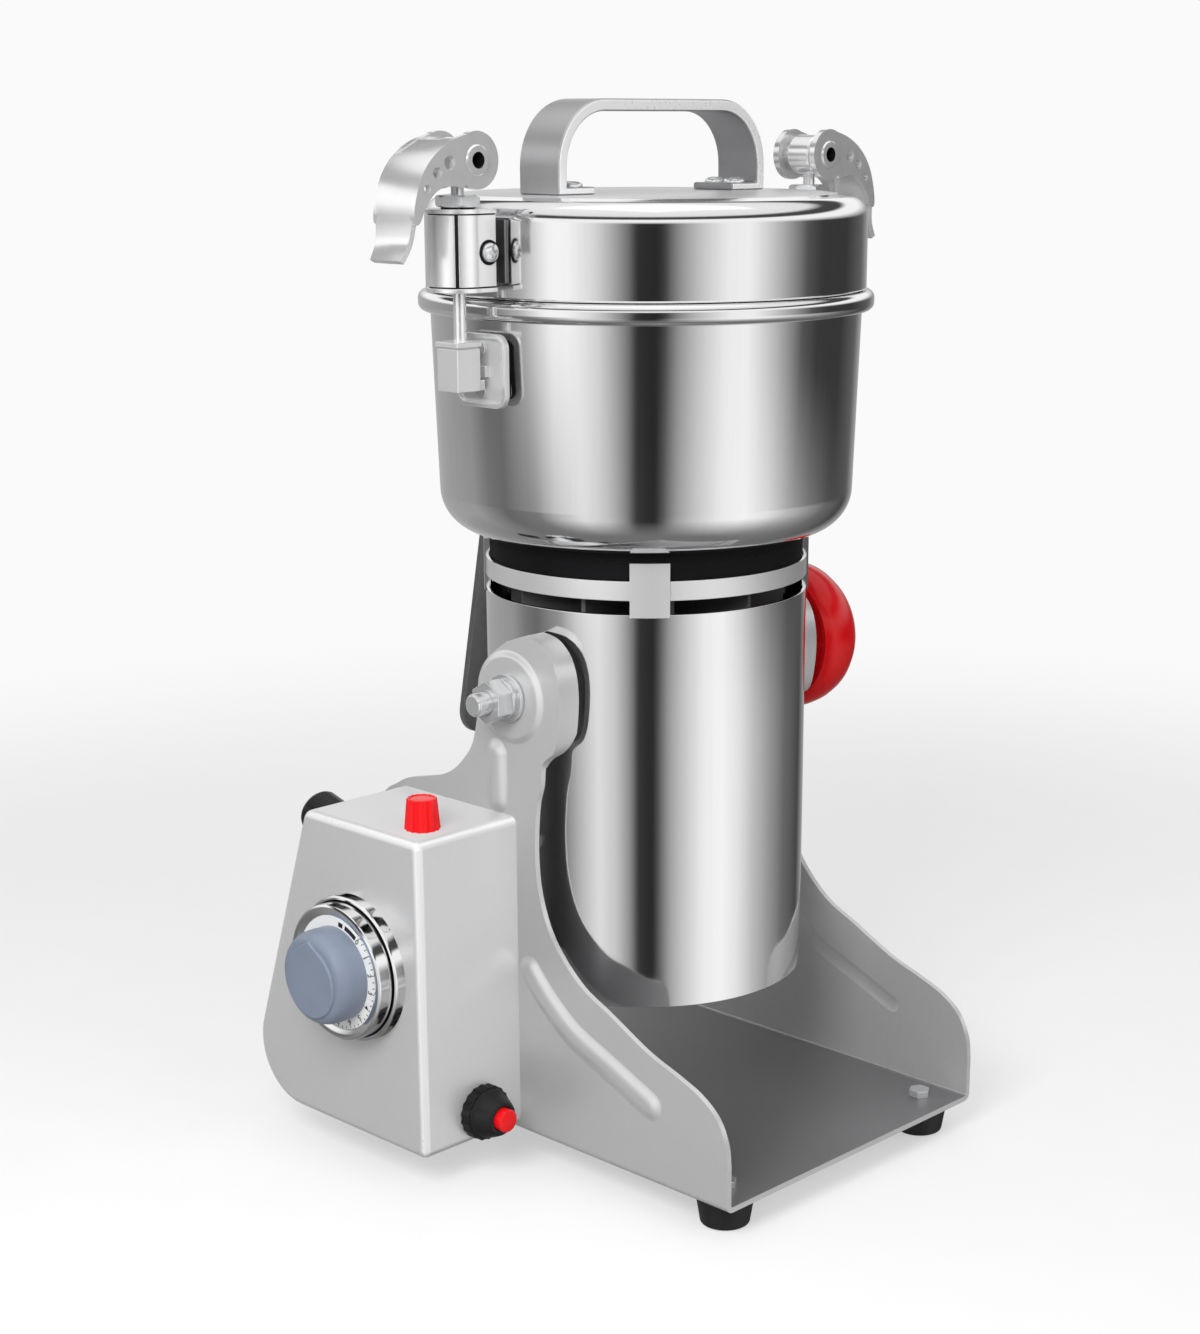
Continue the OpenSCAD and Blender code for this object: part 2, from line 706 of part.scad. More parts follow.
module bowl_seat() {
    color("darkgray") difference() {
        union() {
            translate([0, 0, seat_bot]) cylinder(h = seat_flange_t, r = motor_in - seat_gap);
            translate([0, 0, seat_bot]) cylinder(h = bowl_bot - seat_bot, d = seat_pad_d);
            translate([0, 0, seat_bot - seat_boss_drop])
                cylinder(h = seat_boss_drop + edge, d = seat_boss_d);
        }
        translate([0, 0, seat_bot - seat_boss_drop - over])
            cylinder(h = bearing_h + over, d = bearing_d + 2 * seat_gap);
        translate([0, 0, seat_bot - seat_boss_drop]) cylinder(h = bowl_bot, d = shaft_hole_d);
        for (a = [0:90:270]) rotate([0, 0, a]) translate([bowl_screw_pcd / 2, 0, seat_bot - over])
            cylinder(h = bowl_bot, d = screw_d + 2 * seat_gap);
        for (x = grip_screw_x) translate([x, 0, seat_bot - over])
            cylinder(h = seat_flange_t + over, d = screw_d + 2 * seat_gap);
    }
}
module motor_bearings() {
    color("silver") for (z = [motor_bot + cap_sink + bearing_lift, seat_bot - seat_boss_drop])
        translate([0, 0, z]) difference() {
            cylinder(h = bearing_h, d = bearing_d);
            translate([0, 0, -over]) cylinder(h = bearing_h + 2 * over, d = shaft_d + 2 * run_gap);
        }
}

// Stator: laminated ring with two windows for each field coil
module coil_legs(grow) {
    turn = asin(grow / (coil_in_d / 2));
    for (s = [0, 180], a = [-coil_span_angle / 2, coil_span_angle / 2 - coil_leg_angle])
        ring_part(coil_in_d / 2 - grow, coil_build + 2 * grow, s + a - turn,
            coil_leg_angle + 2 * turn, core_bot - coil_end_h, core_h + 2 * coil_end_h);
}
module stator_core() {
    color("slategray") difference() {
        translate([0, 0, core_bot]) cylinder(h = core_h, r = motor_in - seat_gap);
        translate([0, 0, core_bot - over]) cylinder(h = core_h + 2 * over, d = rotor_d + 2 * air_gap);
        coil_legs(coil_air);
        for (a = [45:90:315]) rotate([0, 0, a]) translate([through_bolt_pcd / 2, 0, core_bot - over])
            cylinder(h = through_bolt_grip + 2 * over, d = screw_d + 2 * seat_gap);
    }
}
module field_coils() {
    color("chocolate") {
        for (s = [0, 180]) difference() {
            ring_part(coil_in_d / 2, coil_build, s - coil_span_angle / 2, coil_span_angle,
                core_bot - coil_end_h, core_h + 2 * coil_end_h);
            ring_part(coil_in_d / 2 - over, coil_build + 2 * over, s - coil_span_angle / 2 + coil_leg_angle,
                coil_span_angle - 2 * coil_leg_angle, core_bot - coil_air, core_h + 2 * coil_air);
        }
    }
}
module brush_holders() {
    block_x = commutator_d / 2 + brush_block_gap;
    foot_z = motor_bot + cap_sink + cap_t;
    color("peru") for (s = [0, 180]) rotate([0, 0, s]) difference() {
        translate([block_x, -brush_block_w / 2, foot_z])
            cube([brush_block_len, brush_block_w, brush_mid + brush_h / 2 + brush_block_top - foot_z]);
        translate([block_x - over, -brush_w / 2 - seat_gap, brush_mid - brush_h / 2 - seat_gap])
            cube([brush_len + 2 * over, brush_w + 2 * seat_gap, brush_h + 2 * seat_gap]);
    }
}
module carbon_brushes() {
    color([0.15, 0.15, 0.16]) for (s = [0, 180]) rotate([0, 0, s])
        translate([commutator_d / 2 + air, -brush_w / 2, brush_mid - brush_h / 2])
            cube([brush_len, brush_w, brush_h]);
}

// Rotor: shaft, core, commutator and fan turn together
blade_z = bowl_floor + blade_lift;
shaft_top = blade_z + blade_pitch + 2 * blade_t + nut_h + shaft_end;
module motor_shaft() {
    color("silver") translate([0, 0, motor_bot + cap_sink + bearing_lift + edge])
        cylinder(h = shaft_top - motor_bot - cap_sink - bearing_lift - edge, d = shaft_d);
}
module on_shaft(d, z, h) {
    difference() {
        translate([0, 0, z]) cylinder(h = h, d = d);
        translate([0, 0, z - over]) cylinder(h = h + 2 * over, d = shaft_d + 2 * seat_gap);
    }
}
module rotor_core() {
    color("slategray") difference() {
        on_shaft(rotor_d, core_bot, core_h);
        for (i = [0:rotor_slots - 1]) rotate([0, 0, i * 360 / rotor_slots])
            translate([rotor_d / 2 - rotor_slot_depth, 0, core_bot - over])
                cylinder(h = core_h + 2 * over, d = rotor_slot_d, $fn = 24);
    }
}
module commutator() {
    color("chocolate") on_shaft(commutator_d, brush_z, commutator_h);
}
module cooling_fan() {
    z = seat_bot - seat_boss_drop - fan_drop - fan_h;
    color("dimgray") {
        on_shaft(fan_hub_d, z, fan_h);
        difference() {
            union() {
                translate([0, 0, z]) cylinder(h = fan_disc_t, d = fan_d);
                for (i = [0:fan_blades - 1]) rotate([0, 0, i * 360 / fan_blades])
                    translate([fan_hub_d / 4, -fan_blade_t / 2, z])
                        cube([(fan_d - fan_hub_d / 2) / 2 - edge, fan_blade_t, fan_h]);
            }
            translate([0, 0, z - over]) cylinder(h = fan_h + 2 * over, d = fan_hub_d - 2 * edge);
        }
    }
}
module shaft_seal() {
    color([0.1, 0.1, 0.1]) difference() {
        rotate_extrude() polygon([[shaft_d / 2 + run_gap, bowl_floor], [seal_d / 2, bowl_floor],
            [seal_d / 2, bowl_floor + seal_h / 3], [shaft_d / 2 + 3 * edge, bowl_floor + seal_h],
            [shaft_d / 2 + run_gap, bowl_floor + seal_h]]);
    }
}
// Blade: a tapered bar whose ends are bent up or down
module blade_bar(len, z, bend) {
    half = len / 2 - blade_tip_len;
    tip = blade_w * blade_taper_share / 2;
    root = blade_w / 2;
    difference() {
        union() {
            translate([0, 0, z]) linear_extrude(blade_t) polygon([[-half, -tip], [0, -root],
                [half, -tip], [half, tip], [0, root], [-half, tip]]);
            for (s = [-1, 1]) scale([s, s, 1]) slab(-tip, tip) polygon([[half - edge, z],
                [half - edge, z + blade_t], [len / 2, z + blade_t + bend], [len / 2, z + bend]]);
        }
        translate([0, 0, z - over]) cylinder(h = blade_t + 2 * over, d = shaft_d + 2 * seat_gap);
    }
}
module lower_blade() {
    color("silver") rotate([0, 0, 30]) blade_bar(lower_blade_len, blade_z, -blade_tip_drop);
}
module upper_blade() {
    color("silver") rotate([0, 0, 120])
        blade_bar(upper_blade_len, blade_z + blade_t + blade_pitch, blade_tip_drop);
}
module blade_spacer() {
    color("silver") on_shaft(spacer_share * shaft_d, blade_z + blade_t, blade_pitch);
}
module blade_nut() {
    z = blade_z + 2 * blade_t + blade_pitch;
    color("silver") difference() {
        translate([0, 0, z]) hexagon(nut_af, nut_h);
        translate([0, 0, z - over]) cylinder(h = nut_h + 2 * over, d = shaft_d + 2 * seat_gap);
    }
}

// Bowl: one drawn shell with a rolled rim
function bowl_wall_r(z) = bowl_foot_r + (bowl_r - bowl_foot_r) * (z - bowl_bot - bowl_corner_r)
    / (rim_bot - bowl_bot - bowl_corner_r);
module bowl() {
    rc = bowl_corner_r;
    color("silver") difference() {
        rotate_extrude($fn = 128) polygon(concat([[0, bowl_bot]],
            arc([bowl_foot_r - rc, bowl_bot + rc], rc, -90, 0),
            [[bowl_r, rim_bot], [rim_r - 2 * edge, rim_bot]],
            arc([rim_r - 4 * edge, rim_bot + 4 * edge], 4 * edge, -60, 0, 4),
            arc([rim_r - 4 * edge, rim_top - 4 * edge], 4 * edge, 0, 90, 5),
            [[bowl_r - bowl_t, rim_top], [bowl_foot_r - bowl_t, bowl_bot + rc]],
            arc([bowl_foot_r - rc, bowl_bot + rc], rc - bowl_t, 0, -90), [[0, bowl_floor]]));
        translate([0, 0, bowl_bot - over]) cylinder(h = 2 * over + bowl_t, d = shaft_hole_d);
        for (a = [0:90:270]) rotate([0, 0, a]) translate([bowl_screw_pcd / 2, 0, bowl_bot - over])
            cylinder(h = bowl_t + 2 * over, d = screw_d + 2 * seat_gap);
    }
}
// Catch plates: cupped plates with a raised edge and a nose for the claw, seated on the wall
module bowl_cut() {
    translate([0, 0, bowl_bot + bowl_corner_r]) cylinder(h = rim_bot - bowl_bot - bowl_corner_r,
        r1 = bowl_foot_r + seat_gap, r2 = bowl_r + seat_gap, $fn = 128);
}
rivet_z = [catch_mid_z - rivet_spread, catch_mid_z + rivet_spread];
module latch_catches() {
    nose_z = claw_bot + toe_h + 2 * air;
    color("dimgray") sides() difference() {
        union() {
            slab(-catch_face, -bowl_foot_r + 2 * bowl_t) translate([0, catch_mid_z])
                round_square(catch_s, catch_s, catch_r);
            slab(-catch_face - catch_rim, -catch_face + edge) translate([0, catch_mid_z]) difference() {
                round_square(catch_s, catch_s, catch_r);
                round_square(catch_s - 2 * catch_rim_w, catch_s - 2 * catch_rim_w, catch_r / 2);
            }
            translate([-nose_w / 2, -nose_y, nose_z]) cube([nose_w, nose_y - catch_face + edge, nose_h]);
        }
        bowl_cut();
        for (z = rivet_z)
            y_bar(rivet_d + 2 * seat_gap, -catch_face - over, -bowl_foot_r + 4 * bowl_t, 0, z);
    }
}
module catch_rivets() {
    color("silver") sides() difference() {
        for (z = rivet_z) {
            y_bar(rivet_d, -catch_face - edge, -bowl_foot_r + 2 * bowl_t, 0, z);
            y_bar(rivet_head_d, -catch_face - rivet_head_h, -catch_face, 0, z);
        }
        bowl_cut();
    }
}

// Rear grip: a flat strap screwed under the bowl seat and bent down behind the motor
module grip_profile() {
    x0 = grip_root - motor_in;
    top = [[x0, seat_bot], [-grip_top_x + 4 * grip_t, seat_bot]];
    bend = [[-grip_top_x + 2 * grip_t, seat_bot - edge / 2],
        [-grip_top_x + edge, seat_bot - 1.5 * grip_t]];
    back = [[-grip_top_x - edge, seat_bot - 4 * grip_t],
        [-grip_top_x - grip_lean, seat_bot - grip_drop]];
    line = concat(top, bend, back);
    polygon(concat(line, reverse(push(line, -grip_t))));
}
module rear_handle() {
    color("dimgray") difference() {
        intersection() {
            slab(-grip_w / 2, grip_w / 2) grip_profile();
            slice(-2 * grip_top_x, 0) {
                translate([0, seat_bot - grip_drop + grip_w / 2]) circle(d = grip_w);
                translate([-grip_w / 2, seat_bot - grip_drop + grip_w / 2]) square([grip_w, grip_drop]);
            }
        }
        for (x = grip_screw_x) translate([x, 0, grip_z - over])
            cylinder(h = grip_t + 2 * over, d = screw_d + 2 * seat_gap);
    }
}
module rear_handle_screws() {
    color("silver") for (x = grip_screw_x) translate([x, 0, 0]) {
        translate([0, 0, grip_z - screw_head_h]) cylinder(h = screw_head_h, d = screw_head_d);
        translate([0, 0, grip_z - edge]) cylinder(h = grip_t + seat_flange_t - edge, d = screw_d);
    }
}

// Lid: drawn shell, inner liner, sealing ring and carrying strap
module lid_shell() {
    rc = lid_corner_r;
    edge_z = lid_top - dome_h;
    color("silver") difference() {
        rotate_extrude($fn = 128) polygon(concat([[lid_r - lid_t, lid_bot], [lid_r, lid_bot]],
            arc([lid_r - rc, edge_z - rc], rc, 0, 90), [[lid_r - 2 * rc, lid_top],
            [0, lid_top], [0, lid_top - lid_t], [lid_r - 2 * rc, lid_top - lid_t]],
            arc([lid_r - rc, edge_z - rc], rc - lid_t, 90, 0)));
        lid_screw_holes();
    }
}
lid_screw_y = handle_span / 2 - handle_t - foot_len / 2;
module lid_screw_holes() {
    for (sx = [-1, 1], sy = [-1, 1]) translate([sx * lid_screw_spread / 2, sy * lid_screw_y, lid_top])
        translate([0, 0, -lid_t - over]) cylinder(h = lid_t + foot_t + 2 * over,
            d = lid_screw_d + 2 * seat_gap, $fn = 32);
}
module lid_handle() {
    y = handle_span / 2;
    t = handle_t;
    r = handle_r;
    color("silver") difference() {
        translate([0, 0, lid_top]) slice(-handle_w / 2, handle_w / 2) {
            f = y - t - foot_len;
            polygon(concat([[-y, 0]], arc([r - y, handle_h - r], r, 180, 90),
                arc([y - r, handle_h - r], r, 90, 0), [[y, 0], [f, 0], [f, foot_t], [y - t, foot_t]],
                arc([y - r, handle_h - r], r - t, 0, 90), arc([r - y, handle_h - r], r - t, 90, 180),
                [[t - y, foot_t], [-f, foot_t], [-f, 0]]));
        }
        lid_screw_holes();
    }
}
module lid_handle_screws() {
    color("silver") for (sx = [-1, 1], sy = [-1, 1])
        translate([sx * lid_screw_spread / 2, sy * lid_screw_y, lid_top]) {
            translate([0, 0, foot_t]) cylinder(h = lid_screw_head_h, d = lid_screw_head_d);
            translate([0, 0, -lid_t - edge]) cylinder(h = lid_t + foot_t + 2 * edge, d = lid_screw_d);
            translate([0, 0, -lid_t - lid_screw_head_h])
                cylinder(h = lid_screw_head_h, d = lid_screw_head_d);
        }
}
liner_r = lid_r - lid_t - seat_gap;
module lid_liner() {
    z = lid_bot + gasket_h;
    color("silver") rotate_extrude($fn = 128) polygon([[0, z + liner_dish_h], [liner_dish_d / 2, z +
        liner_dish_h], [liner_dish_d / 2 + liner_dish_h, z], [liner_r, z], [liner_r, z + liner_t],
        [liner_dish_d / 2 + liner_dish_h, z + liner_t], [liner_dish_d / 2, z + liner_dish_h + liner_t],
        [0, z + liner_dish_h + liner_t]]);
}
module lid_gasket() {
    color([0.9, 0.88, 0.84]) difference() {
        translate([0, 0, lid_bot]) cylinder(h = gasket_h, r = liner_r, $fn = 128);
        translate([0, 0, lid_bot - over])
            cylinder(h = gasket_h + 2 * over, r = liner_r - gasket_w, $fn = 128);
    }
}

// Latch: bracket on the lid, hanging housing, sliding rod with claw, and lever
module latch_brackets() {
    color("dimgray") sides() difference() {
        union() {
            intersection() {
                translate([0, 0, latch_pin_z - bracket_h / 2])
                    cylinder(h = bracket_h, r = lid_r + seat_gap + bracket_t, $fn = 128);
                translate([-bracket_w / 2, -rod_y, latch_pin_z - bracket_h / 2])
                    cube([bracket_w, rod_y, bracket_h]);
            }
            for (s = [-1, 1]) slice(s * lug_x - lug_t / 2, s * lug_x + lug_t / 2) {
                translate([-latch_pin_y, latch_pin_z]) circle(d = lug_h / 2);
                translate([-latch_pin_y, latch_pin_z - lug_h / 4])
                    square([latch_pin_y - lid_r + bracket_t, lug_h / 2]);
            }
        }
        translate([0, 0, latch_bot]) cylinder(h = latch_h, r = lid_r + seat_gap, $fn = 128);
        x_bar(latch_pin_d + 2 * run_gap, -latch_d, latch_d, -latch_pin_y, latch_pin_z);
    }
}
module housing_plan(grow) {
    r = latch_d / 2 + grow;
    difference() {
        translate([0, -rod_y]) circle(r = r);
        translate([-r - over, -rod_y]) square([2 * r + 2 * over, r + over]);
    }
    translate([-r, -rod_y]) square([2 * r, rod_y - latch_back]);
}
module latch_housing() {
    color("silver") difference() {
        union() {
            translate([0, 0, latch_bot]) linear_extrude(latch_h) housing_plan(0);
            for (z = [latch_bot, latch_top - latch_t]) translate([0, 0, z])
                linear_extrude(latch_t) housing_plan(latch_lip);
        }
        translate([0, over, latch_bot + latch_t]) linear_extrude(latch_h - 2 * latch_t)
            housing_plan(-latch_t);
        translate([0, -rod_y, latch_bot - over])
            cylinder(h = latch_h + 2 * over, d = rod_d + 2 * run_gap, $fn = 48);
        translate([-latch_slit / 2, -rod_y - latch_d, latch_bot + latch_t])
            cube([latch_slit, latch_d / 2 + 2 * latch_t, latch_h - 2 * latch_t]);
        x_bar(latch_pin_d + 2 * seat_gap, -latch_d, latch_d, -latch_pin_y, latch_pin_z);
    }
}
module latch_fixings() {
    pin_in = lug_x - lug_t;
    color("silver") {
        for (s = [-1, 1]) scale([s, 1, 1]) {
            x_bar(latch_pin_d, pin_in, latch_d / 2 + edge, -latch_pin_y, latch_pin_z);
            x_bar(latch_screw_head_d, latch_d / 2 + seat_gap, latch_d / 2 + latch_screw_head_h,
                -latch_pin_y, latch_pin_z);
        }
        translate([0, -rod_y, latch_top]) difference() {
            hexagon(bush_af, bush_h);
            translate([0, 0, -over]) cylinder(h = bush_h + 2 * over, d = rod_d + 2 * run_gap, $fn = 48);
        }
    }
}
module latch_rod() {
    color("silver") difference() {
        union() {
            translate([0, -rod_y, claw_top - edge])
                cylinder(h = lever_pin_z - claw_top, d = rod_d, $fn = 48);
            x_bar(rod_eye_d, -rod_eye_w / 2, rod_eye_w / 2, -rod_y, lever_pin_z);
            translate([-claw_w / 2, -claw_y1, claw_bot]) cube([claw_w, claw_y1 - claw_y0, claw_h]);
            translate([-claw_w * toe_w_share / 2, -claw_y1 + edge, claw_bot])
                cube([claw_w * toe_w_share, claw_y1 - nose_y - air - edge, toe_h]);
        }
        translate([-edge, -claw_y1 - over, claw_bot + claw_h / 2]) cube([2 * edge, over + edge, claw_h]);
        x_bar(lever_pin_d + 2 * run_gap, -rod_eye_w, rod_eye_w, -rod_y, lever_pin_z);
    }
}
function lever_points(s) = [for (p = s) [-rod_y - p[0] * lever_reach, lever_pin_z + p[1] * lever_drop]];
module latch_lever() {
    sheet = smooth(lever_points(sheet_shares), 2);
    w = lever_w / 2;
    color("silver") {
        difference() {
            union() {
                for (s = [-1, 1]) slice(min(s * lever_w / 2, s * (lever_w / 2 - lever_flange_t)),
                    max(s * lever_w / 2, s * (lever_w / 2 - lever_flange_t))) {
                    translate([-rod_y, lever_pin_z]) circle(d = lever_ear_d);
                    polygon(smooth(lever_points(arm_shares), 2));
                }
                intersection() {
                    slice(-lever_w / 2, lever_w / 2)
                        polygon(concat(sheet, reverse(push(sheet, -lever_sheet_t))));
                    translate([0, -rod_y, lever_pin_z]) slab(-2 * lever_reach, 0)
                        polygon([[-w, lever_ear_d], [w, lever_ear_d], [w, -lever_drop / 3],
                            [w * lip_w_share, -1.2 * lever_drop],
                            [-w * lip_w_share, -1.2 * lever_drop], [-w, -lever_drop / 3]]);
                }
            }
            x_bar(lever_pin_d + 2 * seat_gap, -lever_w, lever_w, -rod_y, lever_pin_z);
            for (h = arm_hole_shares) x_bar(arm_hole_d * h[2], -lever_w, lever_w,
                -rod_y - h[0] * lever_reach, lever_pin_z + h[1] * lever_drop);
        }
        difference() {
            x_bar(lever_pin_d, -lever_w / 2, lever_w / 2, -rod_y, lever_pin_z);
            x_bar(lever_pin_bore_d, -lever_w, lever_w, -rod_y, lever_pin_z);
        }
    }
}
module right() {
    mirror([0, 1, 0]) children();
}

// Control box: folded sheet cover over the controls, screwed to the left cheek
function box_outline(g) = concat([[box_x - g, box_bottom + g], [box_x - g, box_top - g],
    [box_x - box_top_len + g * (1 - sin(rear_angle)) / cos(rear_angle), box_top - g]],
    arc([box_x - box_len + box_corner_r, box_bottom + box_corner_r], box_corner_r - g,
        180 - rear_angle, 270));
module box_hole(d, x, z) {
    y_bar(d, -box_y - over, -box_y + box_t + over, x, z);
}
// Places a child on the sloping rear face, its Z axis pointing out, so far down from the top
module on_rear(y, down) {
    translate([box_x - box_top_len, y, box_top]) rotate([0, -90 + rear_angle, 0])
        translate([-down, 0, 0]) children();
}
module control_box_shell() {
    color("gainsboro") difference() {
        union() {
            difference() {
                slab(-box_y, -cheek_out) polygon(box_outline(0));
                slab(-box_y + box_t, -cheek_out + over) polygon(box_outline(box_t));
            }
            intersection() {
                slab(-cheek_out - box_t, -cheek_out) polygon(box_outline(0));
                for (p = box_screw_places) translate([p[0] - tab_len / 2, -box_y, p[1] - tab_h / 2])
                    cube([tab_len, box_depth, tab_h]);
            }
        }
        for (p = box_screw_places)
            y_bar(box_screw_d + 2 * seat_gap, -cheek_out - 4 * over, -cheek_in, p[0], p[1]);
        box_hole(spindle_d + 4 * over, timer_x, timer_h);
        translate([lamp_x, -lamp_y, box_top - box_t - over])
            cylinder(h = box_t + 2 * over, d = lens_neck_d + 2 * seat_gap, $fn = 32);
        x_bar(breaker_back_d + 2 * seat_gap, box_x - box_t - over, box_x + over, -breaker_y, breaker_z);
        on_rear(-gland_y, gland_down) translate([0, 0, -2 * over - box_t])
            cylinder(h = box_t + 4 * over, d = gland_thread_d + 2 * seat_gap);
    }
}
module control_box_screws() {
    color("silver") for (p = box_screw_places) {
        y_bar(box_screw_head_d, -cheek_in, -cheek_in + box_screw_head_h, p[0], p[1]);
        y_bar(box_screw_d, -cheek_out - box_screw_len, -cheek_in + edge, p[0], p[1]);
    }
}
// Timer: stepped bezel round a dial, with the clockwork behind the front sheet
module timer_bezel() {
    r = bezel_d / 2;
    color("silver") translate([timer_x, -box_y, timer_h]) rotate([90, 0, 0]) rotate_extrude()
        polygon([[r - bezel_rim - bezel_step, 0], [r, 0], [r, bezel_step_h - edge],
            [r - edge, bezel_step_h], [r - bezel_step, bezel_step_h],
            [r - bezel_step, bezel_depth - edge], [r - bezel_step - edge, bezel_depth],
            [r - bezel_rim + edge, bezel_depth], [r - bezel_rim - edge, bezel_depth - dial_sink],
            [r - bezel_rim - bezel_step, bezel_depth - dial_sink - dial_t]]);
}
dial_r = bezel_d / 2 - bezel_rim - bezel_step - seat_gap;
module timer_dial() {
    color("white") translate([timer_x, -box_y, timer_h]) rotate([90, 0, 0]) difference() {
        cylinder(h = bezel_depth - dial_sink, r = dial_r);
        translate([0, 0, -over]) cylinder(h = bezel_depth - dial_sink - dial_t + over, r = dial_r - dial_t);
        translate([0, 0, -over]) cylinder(h = bezel_depth + 2 * over, d = spindle_d + 4 * over);
    }
}
module timer_body() {
    color("dimgray") difference() {
        translate([timer_x - timer_body_s / 2, -box_y + box_t, timer_h - timer_body_s / 2])
            cube([timer_body_s, timer_body_depth, timer_body_s]);
        y_bar(spindle_d + 2 * run_gap, -box_y, -box_y + spindle_back + edge, timer_x, timer_h);
    }
}
knob_y = box_y + bezel_depth - dial_sink + air;
module timer_spindle() {
    color("silver")
        y_bar(spindle_d, -knob_y - timer_knob_depth / 2, -box_y + spindle_back, timer_x, timer_h);
}
// Knob: a drafted disc whose face carries a raised pointer grip
module timer_knob() {
    r = timer_knob_d / 2;
    h = timer_knob_depth;
    color("lightslategray") translate([timer_x, -knob_y, timer_h]) difference() {
        union() {
            rotate([90, 0, 0]) rotate_extrude() polygon([[0, 0], [r, 0],
                [r - knob_draft / 3, h - knob_face], [r - knob_draft, h - knob_face + edge],
                [0, h - knob_face + edge]]);
            slab(-h, -h + knob_face) {
                circle(r = r - 2 * knob_draft);
                polygon([[-r / 2, 0], [r / 2, 0], [edge, r - knob_draft], [-edge, r - knob_draft]]);
            }
        }
        y_bar(spindle_d + 2 * seat_gap, -h / 2, over);
    }
}

// Indicator lamp on the box's top
module lamp_lens() {
    color("red") translate([lamp_x, -lamp_y, box_top]) {
        cylinder(h = lens_h, d1 = lens_d, d2 = lens_d * lens_top_share);
    }
}
module lamp_holder() {
    color("dimgray") translate([lamp_x, -lamp_y, box_top - box_t]) {
        translate([0, 0, -lamp_len]) cylinder(h = lamp_len + box_t, d = lens_neck_d, $fn = 32);
        translate([0, 0, -lamp_nut_h]) hexagon(lamp_nut_af, lamp_nut_h);
    }
}

// Circuit breaker with its reset button on the box's front face
module breaker_body() {
    tip = box_x + breaker_collar_h + breaker_cone_h;
    color([0.08, 0.08, 0.08]) translate([0, -breaker_y, breaker_z]) difference() {
        union() {
            x_bar(breaker_back_d, box_x - breaker_len, box_x + edge);
            x_bar(breaker_d, box_x, box_x + breaker_collar_h);
            translate([box_x + breaker_collar_h, 0, 0]) rotate([0, 90, 0])
                cylinder(h = breaker_cone_h, d1 = breaker_cone_d, d2 = breaker_tip_d);
        }
        x_bar(breaker_button_d + 2 * run_gap, box_x - button_proud, tip + over);
    }
}
module breaker_button() {
    tip = box_x + breaker_collar_h + breaker_cone_h;
    color("red") translate([0, -breaker_y, breaker_z])
        x_bar(breaker_button_d, box_x - button_proud + breaker_travel + air, tip + button_proud);
}

// Cord gland through the rear face, with its lock nut inside and its domed cap outside
module gland_bore() {
    translate([0, 0, -gland_back - over])
        cylinder(h = gland_back + gland_flange_h + gland_cap_h + 2 * over, d = gland_bore_d);
}
module cord_gland() {
    color([0.1, 0.1, 0.1]) on_rear(-gland_y, gland_down) difference() {
        union() {
            hexagon(gland_d * cos(30), gland_flange_h);
            translate([0, 0, -gland_back])
                cylinder(h = gland_back + gland_flange_h + gland_thread_h, d = gland_thread_d);
            translate([0, 0, -box_t - gland_nut_h]) hexagon(gland_nut_af, gland_nut_h);
        }
        gland_bore();
    }
}
module gland_cap() {
    h = gland_cap_h;
    r = gland_d / 2 - edge;
    color([0.1, 0.1, 0.1]) on_rear(-gland_y, gland_down) translate([0, 0, gland_flange_h]) rotate_extrude()
        polygon(concat([[gland_thread_d / 2 + seat_gap, 0], [r, 0], [r, h / 2]],
            arc([r - gland_cap_r, h - gland_cap_r], gland_cap_r, 20, 90, 5),
            [[gland_bore_d / 2, h], [gland_bore_d / 2, gland_thread_h + air],
            [gland_thread_d / 2 + seat_gap, gland_thread_h + air]]));
}
module terminal_block() {
    x = box_x - breaker_len - term_len - 2 * over;
    y = -cheek_out - over - term_w;
    z = box_bottom + box_t;
    color("ivory") difference() {
        translate([x, y, z]) cube([term_len, term_w, term_h]);
        for (i = [0:term_pins - 1], s = term_pin_shares)
            translate([x + term_len * (i + 0.5) / term_pins, y + s * term_w, z + term_h / 2])
                cylinder(h = term_h, d = term_pin_d, $fn = 24);
    }
}

// Moves a piece from the motor axis to the frame, whose origin is the middle of the outline
frame_x = (base_front - grip_top_x - grip_lean) / 2;
lip_y = rod_y + sheet_shares[len(sheet_shares) - 1][0] * lever_reach;
frame_y = (lip_y - knob_y - timer_knob_depth) / 2;
module placed() {
    translate([-frame_x, -frame_y, 0]) children();
}

placed() base_frame();
placed() rubber_feet();
placed() foot_screws();
placed() pivot_bushes();
placed() control_box_shell();
placed() control_box_screws();
placed() timer_bezel();
placed() timer_dial();
placed() timer_body();
placed() lamp_holder();
placed() lamp_lens();
placed() breaker_body();
placed() cord_gland();
placed() gland_cap();
placed() terminal_block();
placed() timer_knob();
placed() timer_spindle();
placed() breaker_button();
placed() motor_housing();
placed() motor_end_cap();
placed() motor_screws();
placed() bowl_seat();
placed() stator_core();
placed() field_coils();
placed() brush_holders();
placed() carbon_brushes();
placed() motor_bearings();
placed() shaft_seal();
placed() bowl();
placed() latch_catches();
placed() catch_rivets();
placed() rear_handle();
placed() rear_handle_screws();
placed() pivot_bolt();
placed() pivot_nuts();
placed() lock_stud();
placed() lock_knob();
placed() motor_shaft();
placed() rotor_core();
placed() commutator();
placed() cooling_fan();
placed() lower_blade();
placed() upper_blade();
placed() blade_spacer();
placed() blade_nut();
placed() lid_shell();
placed() lid_liner();
placed() lid_gasket();
placed() lid_handle();
placed() lid_handle_screws();
placed() latch_brackets();
placed() latch_housing();  // latch_housing_left
placed() right() latch_housing();  // latch_housing_right
placed() latch_fixings();  // latch_fixings_left
placed() right() latch_fixings();  // latch_fixings_right
